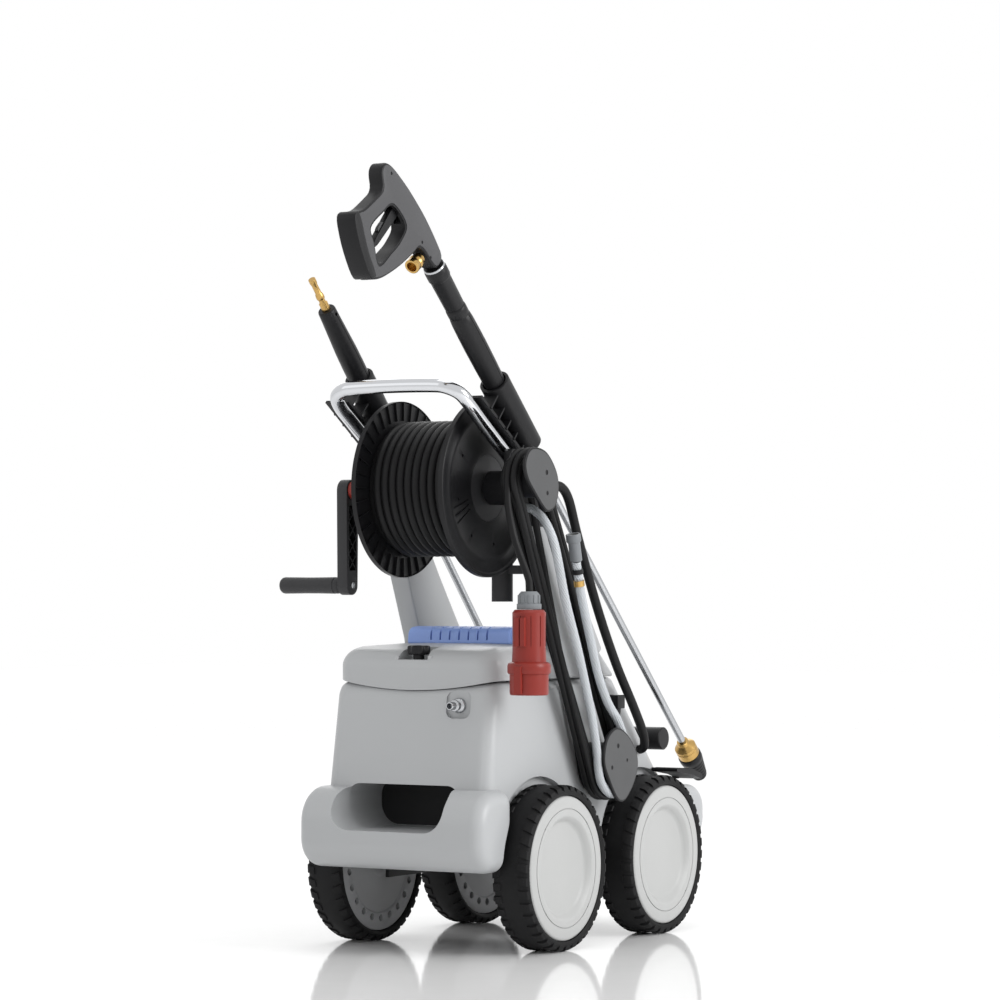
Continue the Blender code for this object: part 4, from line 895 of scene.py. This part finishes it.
done(solid("gun_nipple", lathe([(0, 0.0), (0.0088, 0.0), (0.0095, 0.0008), (0.0095, 0.008),
    (0.0102, 0.0092), (0.0115, 0.01), (0.0115, 0.014), (0.0108, 0.015), (0.0108, 0.0165), (0.0115, 0.0175),
    (0.0115, 0.0255), (0.0108, 0.026), (0.008, 0.026), (0.008, 0.012), (0, 0.012)], 64), LOOKS["brass"],
    RIGHT, (0, 0.0218, -0.0385), (math.radians(-102), 0, 0)), GUN, "gun_inlet")
done(solid("sleeve", lathe([(0, -0.0035), (0.016, -0.0035), (0.0164, 0.0), (0.018, 0.004), (0.018, 0.019),
    (0.0172, 0.0205), (0.0166, 0.0215), (0.0158, 0.078), (0.015, 0.08), (0, 0.08)], 64),
    LOOKS["black_plastic"], RIGHT), GUN, "lance_sleeve")
done(solid("sleeve_ring", lathe([(0.016, -0.0034), (0.0168, -0.0034), (0.0174, -0.0004), (0.0162, -0.0004)],
    64), LOOKS["steel"], RIGHT), GUN)
hand = solid("grip_right", lathe([(0, 0.0804), (0.0145, 0.0804), (0.016, 0.082), (0.0166, 0.085),
    (0.0166, 0.096), (0.0158, 0.0975), (0.0158, 0.099), (0.0168, 0.1005), (0.0178, 0.112), (0.0182, 0.135),
    (0.0184, 0.16), (0.018, 0.2), (0.0172, 0.235), (0.0165, 0.272), (0.016, 0.3), (0.015, 0.3045),
    (0.013, 0.306), (0, 0.306)], 72), LOOKS["black_plastic"], RIGHT)
for sign in (-1, 1):
    cut(hand, block(*sorted((sign * 0.015, sign * 0.03)), -0.0005, 0.0005, 0.1005, 0.3))
done(hand, GUN, "lance_grip")
done(solid("tube_right", lathe([(0, 0.306), (0.0065, 0.306), (0.0065, 1.0962), (0, 1.0962)], 48),
    LOOKS["steel"], RIGHT), GUN, "lance_tube")
done(solid("nozzle_collar", lathe([(0, 1.0964), (0.0095, 1.0964), (0.01, 1.0975), (0.0104, 1.104),
    (0.015, 1.1078), (0.0185, 1.111), (0.0185, 1.115), (0.0176, 1.1158), (0.0176, 1.1172), (0.0185, 1.118),
    (0.0185, 1.13), (0.0175, 1.1312), (0, 1.1312)], 96), LOOKS["brass"], RIGHT), GUN, "lance_nozzle")
tip = [(0, 1.1313), (0.019, 1.1313), (0.02, 1.133), (0.02, 1.142)]
for i in range(6):
    start = 1.143 + 0.0068 * i
    big = 0.0196 - 0.0011 * i
    tip += [(big, start), (big - 0.0006, start + 0.0045), (big - 0.0018, start + 0.005),
        (big - 0.0018, start + 0.0062)]
tip += [(0.0125, 1.185), (0.011, 1.188), (0.006, 1.188), (0.006, 1.18), (0, 1.18)]
done(solid("nozzle_tip", lathe(tip, 96), LOOKS["black_plastic"], RIGHT), GUN)

done(solid("nipple_left", lathe([(0, -0.06), (0.0055, -0.06), (0.006, -0.0595), (0.006, -0.0525),
    (0.005, -0.049), (0.005, -0.0325), (0.0062, -0.03), (0.0068, -0.0265), (0.0068, -0.0222),
    (0.006, -0.0205), (0.0052, -0.02), (0.0052, -0.014), (0.0072, -0.012), (0.0072, 0.0), (0, 0.0)], 48),
    LOOKS["brass"], LEFT), "second_lance", "left_nipple")
hand = solid("grip_left", lathe([(0, 0.0004), (0.0125, 0.0004), (0.0138, 0.0016), (0.0145, 0.004),
    (0.015, 0.02), (0.0162, 0.05), (0.0176, 0.085), (0.018, 0.115), (0.0178, 0.14), (0.017, 0.19),
    (0.016, 0.23), (0.015, 0.2345), (0.013, 0.236), (0, 0.236)], 72), LOOKS["black_plastic"], LEFT)
for sign in (-1, 1):
    cut(hand, block(*sorted((sign * 0.012, sign * 0.03)), -0.0005, 0.0005, 0.01, 0.23))
cut(hand, disc(0.003, -0.03, 0.03, 24), (0, 0, 0.011), X_UP)
done(hand, "second_lance", "left_grip")
done(solid("tube_left", lathe([(0, 0.236), (0.0065, 0.236), (0.0065, 1.03), (0.01, 1.0304), (0.0126, 1.034),
    (0.013, 1.036), (0.013, 1.059), (0.0122, 1.062), (0.01, 1.079), (0.009, 1.08), (0, 1.08)], 48),
    LOOKS["steel"], LEFT), "second_lance", "left_tube")


def holder(name, node, base, start, stop, strip, strip_x):
    """A tube round the grip, with five ribs down to the strip on the handle's leg."""
    made = solid(name, lathe([(0, start), (0.0232, start), (0.024, start + 0.001), (0.024, stop - 0.001),
        (0.0232, stop), (0, stop)], 64), LOOKS["black_plastic"], base)
    (v_0, u_0), (v_1, u_1) = strip
    join(made, prism([(v_0, u_0), (v_0 - 0.005, u_0), (v_1 - 0.005, u_1), (v_1, u_1)], *strip_x))
    for i in range(5):
        u = start + 0.008 + (stop - start - 0.03) * i / 4
        reach = v_0 + (v_1 - v_0) * (u - u_0) / (u_1 - u_0) - 0.0025
        join(made, block(-0.012, 0.012, 0.0215, reach, u, u + 0.003))
    cut(made, disc(0.0195, start - 0.02, stop + 0.02, 64))
    done(made, "machine", node)


holder("holder_right", "lance_holder_right", RIGHT, 0.241, 0.38, ((0.0581, 0.2195), (0.0333, 0.3623)),
    (-0.022, 0.01))
holder("holder_left", "lance_holder_left", LEFT, 0.14, 0.285, ((0.093, 0.1152), (0.0613, 0.2413)),
    (-0.008, 0.036))

# ---------------------------------------------------------------- cable hooks and gland
TOP_FACE = [(-0.022, 0.05), (0.014, 0.043), (0.043, 0.016), (0.051, -0.012), (0.04, -0.04), (0.018, -0.049),
    (0.0015, -0.042), (-0.022, -0.023), (-0.046, 0.0), (-0.054, 0.023), (-0.043, 0.043)]
LOW_FACE = [(-0.012, 0.059), (0.022, 0.05), (0.052, 0.025), (0.062, -0.002), (0.05, -0.03), (0.028, -0.052),
    (0.01, -0.06), (-0.01, -0.054), (-0.034, -0.026), (-0.052, 0.006), (-0.042, 0.042)]
for name, centre, face, drum, start, body, holes in (("upper", TOP, TOP_FACE, 0.0278, 0.1454, "upper_hook",
        ((0.012, 0.012, 0.0042), (0.014, -0.02, 0.0036))),
        ("lower", LOW, LOW_FACE, 0.0348, 0.1505, "machine",
        ((-0.006, 0.03, 0.004), (-0.026, -0.004, 0.0036), (0.024, 0.006, 0.0028)))):
    outline = [(centre.x + a, centre.y + b) for a, b in smooth(face, 6, True)]
    leaf = solid("hook_leaf_" + name, prism(outline, 0.1995, 0.2042), LOOKS["black_plastic"])
    bevel(leaf, 0.001, 3, 50)
    join(leaf, disc(drum, start, 0.201, 64), (0, centre.x, centre.y), X_UP)
    plate = solid("hook_plate_" + name, prism(inset(outline, 0.003), 0.203, 0.2048), DISC_GREY)
    for a, b, radius in holes:
        cut(plate, disc(radius, 0.2, 0.21, 32), (0, centre.x + a, centre.y + b), X_UP)
    done(leaf, body, "cable_hook_" + name)
    done(plate, body)

gland = solid("gland_block", block(0.1476, 0.174, 0.05, 0.074, 0.372, 0.394), LOOKS["black_plastic"])
bevel(gland, 0.002, 3, 50)
join(gland, lathe([(0, 0.354), (0.007, 0.354), (0.0075, 0.3546), (0.0092, 0.37), (0.0092, 0.3735),
    (0, 0.3735)], 48), (0.162, 0.062, 0))
done(gland, "machine", "cable_gland")

# ---------------------------------------------------------------- the floor, and the view transform
floor = bpy.data.meshes.new("floor")
floor.from_pydata([(-12, -8, 0), (12, -8, 0), (12, 16, 0), (-12, 16, 0)], [], [(0, 1, 2, 3)])
ground = bpy.data.objects.new("floor", floor)
scene.collection.objects.link(ground)
floor.materials.append(finish("floor_pale", (0.94, 0.94, 0.94), 0.08, grain=3.0, bump=0.0, vary=0.01))

scene.view_settings.view_transform = "Standard"
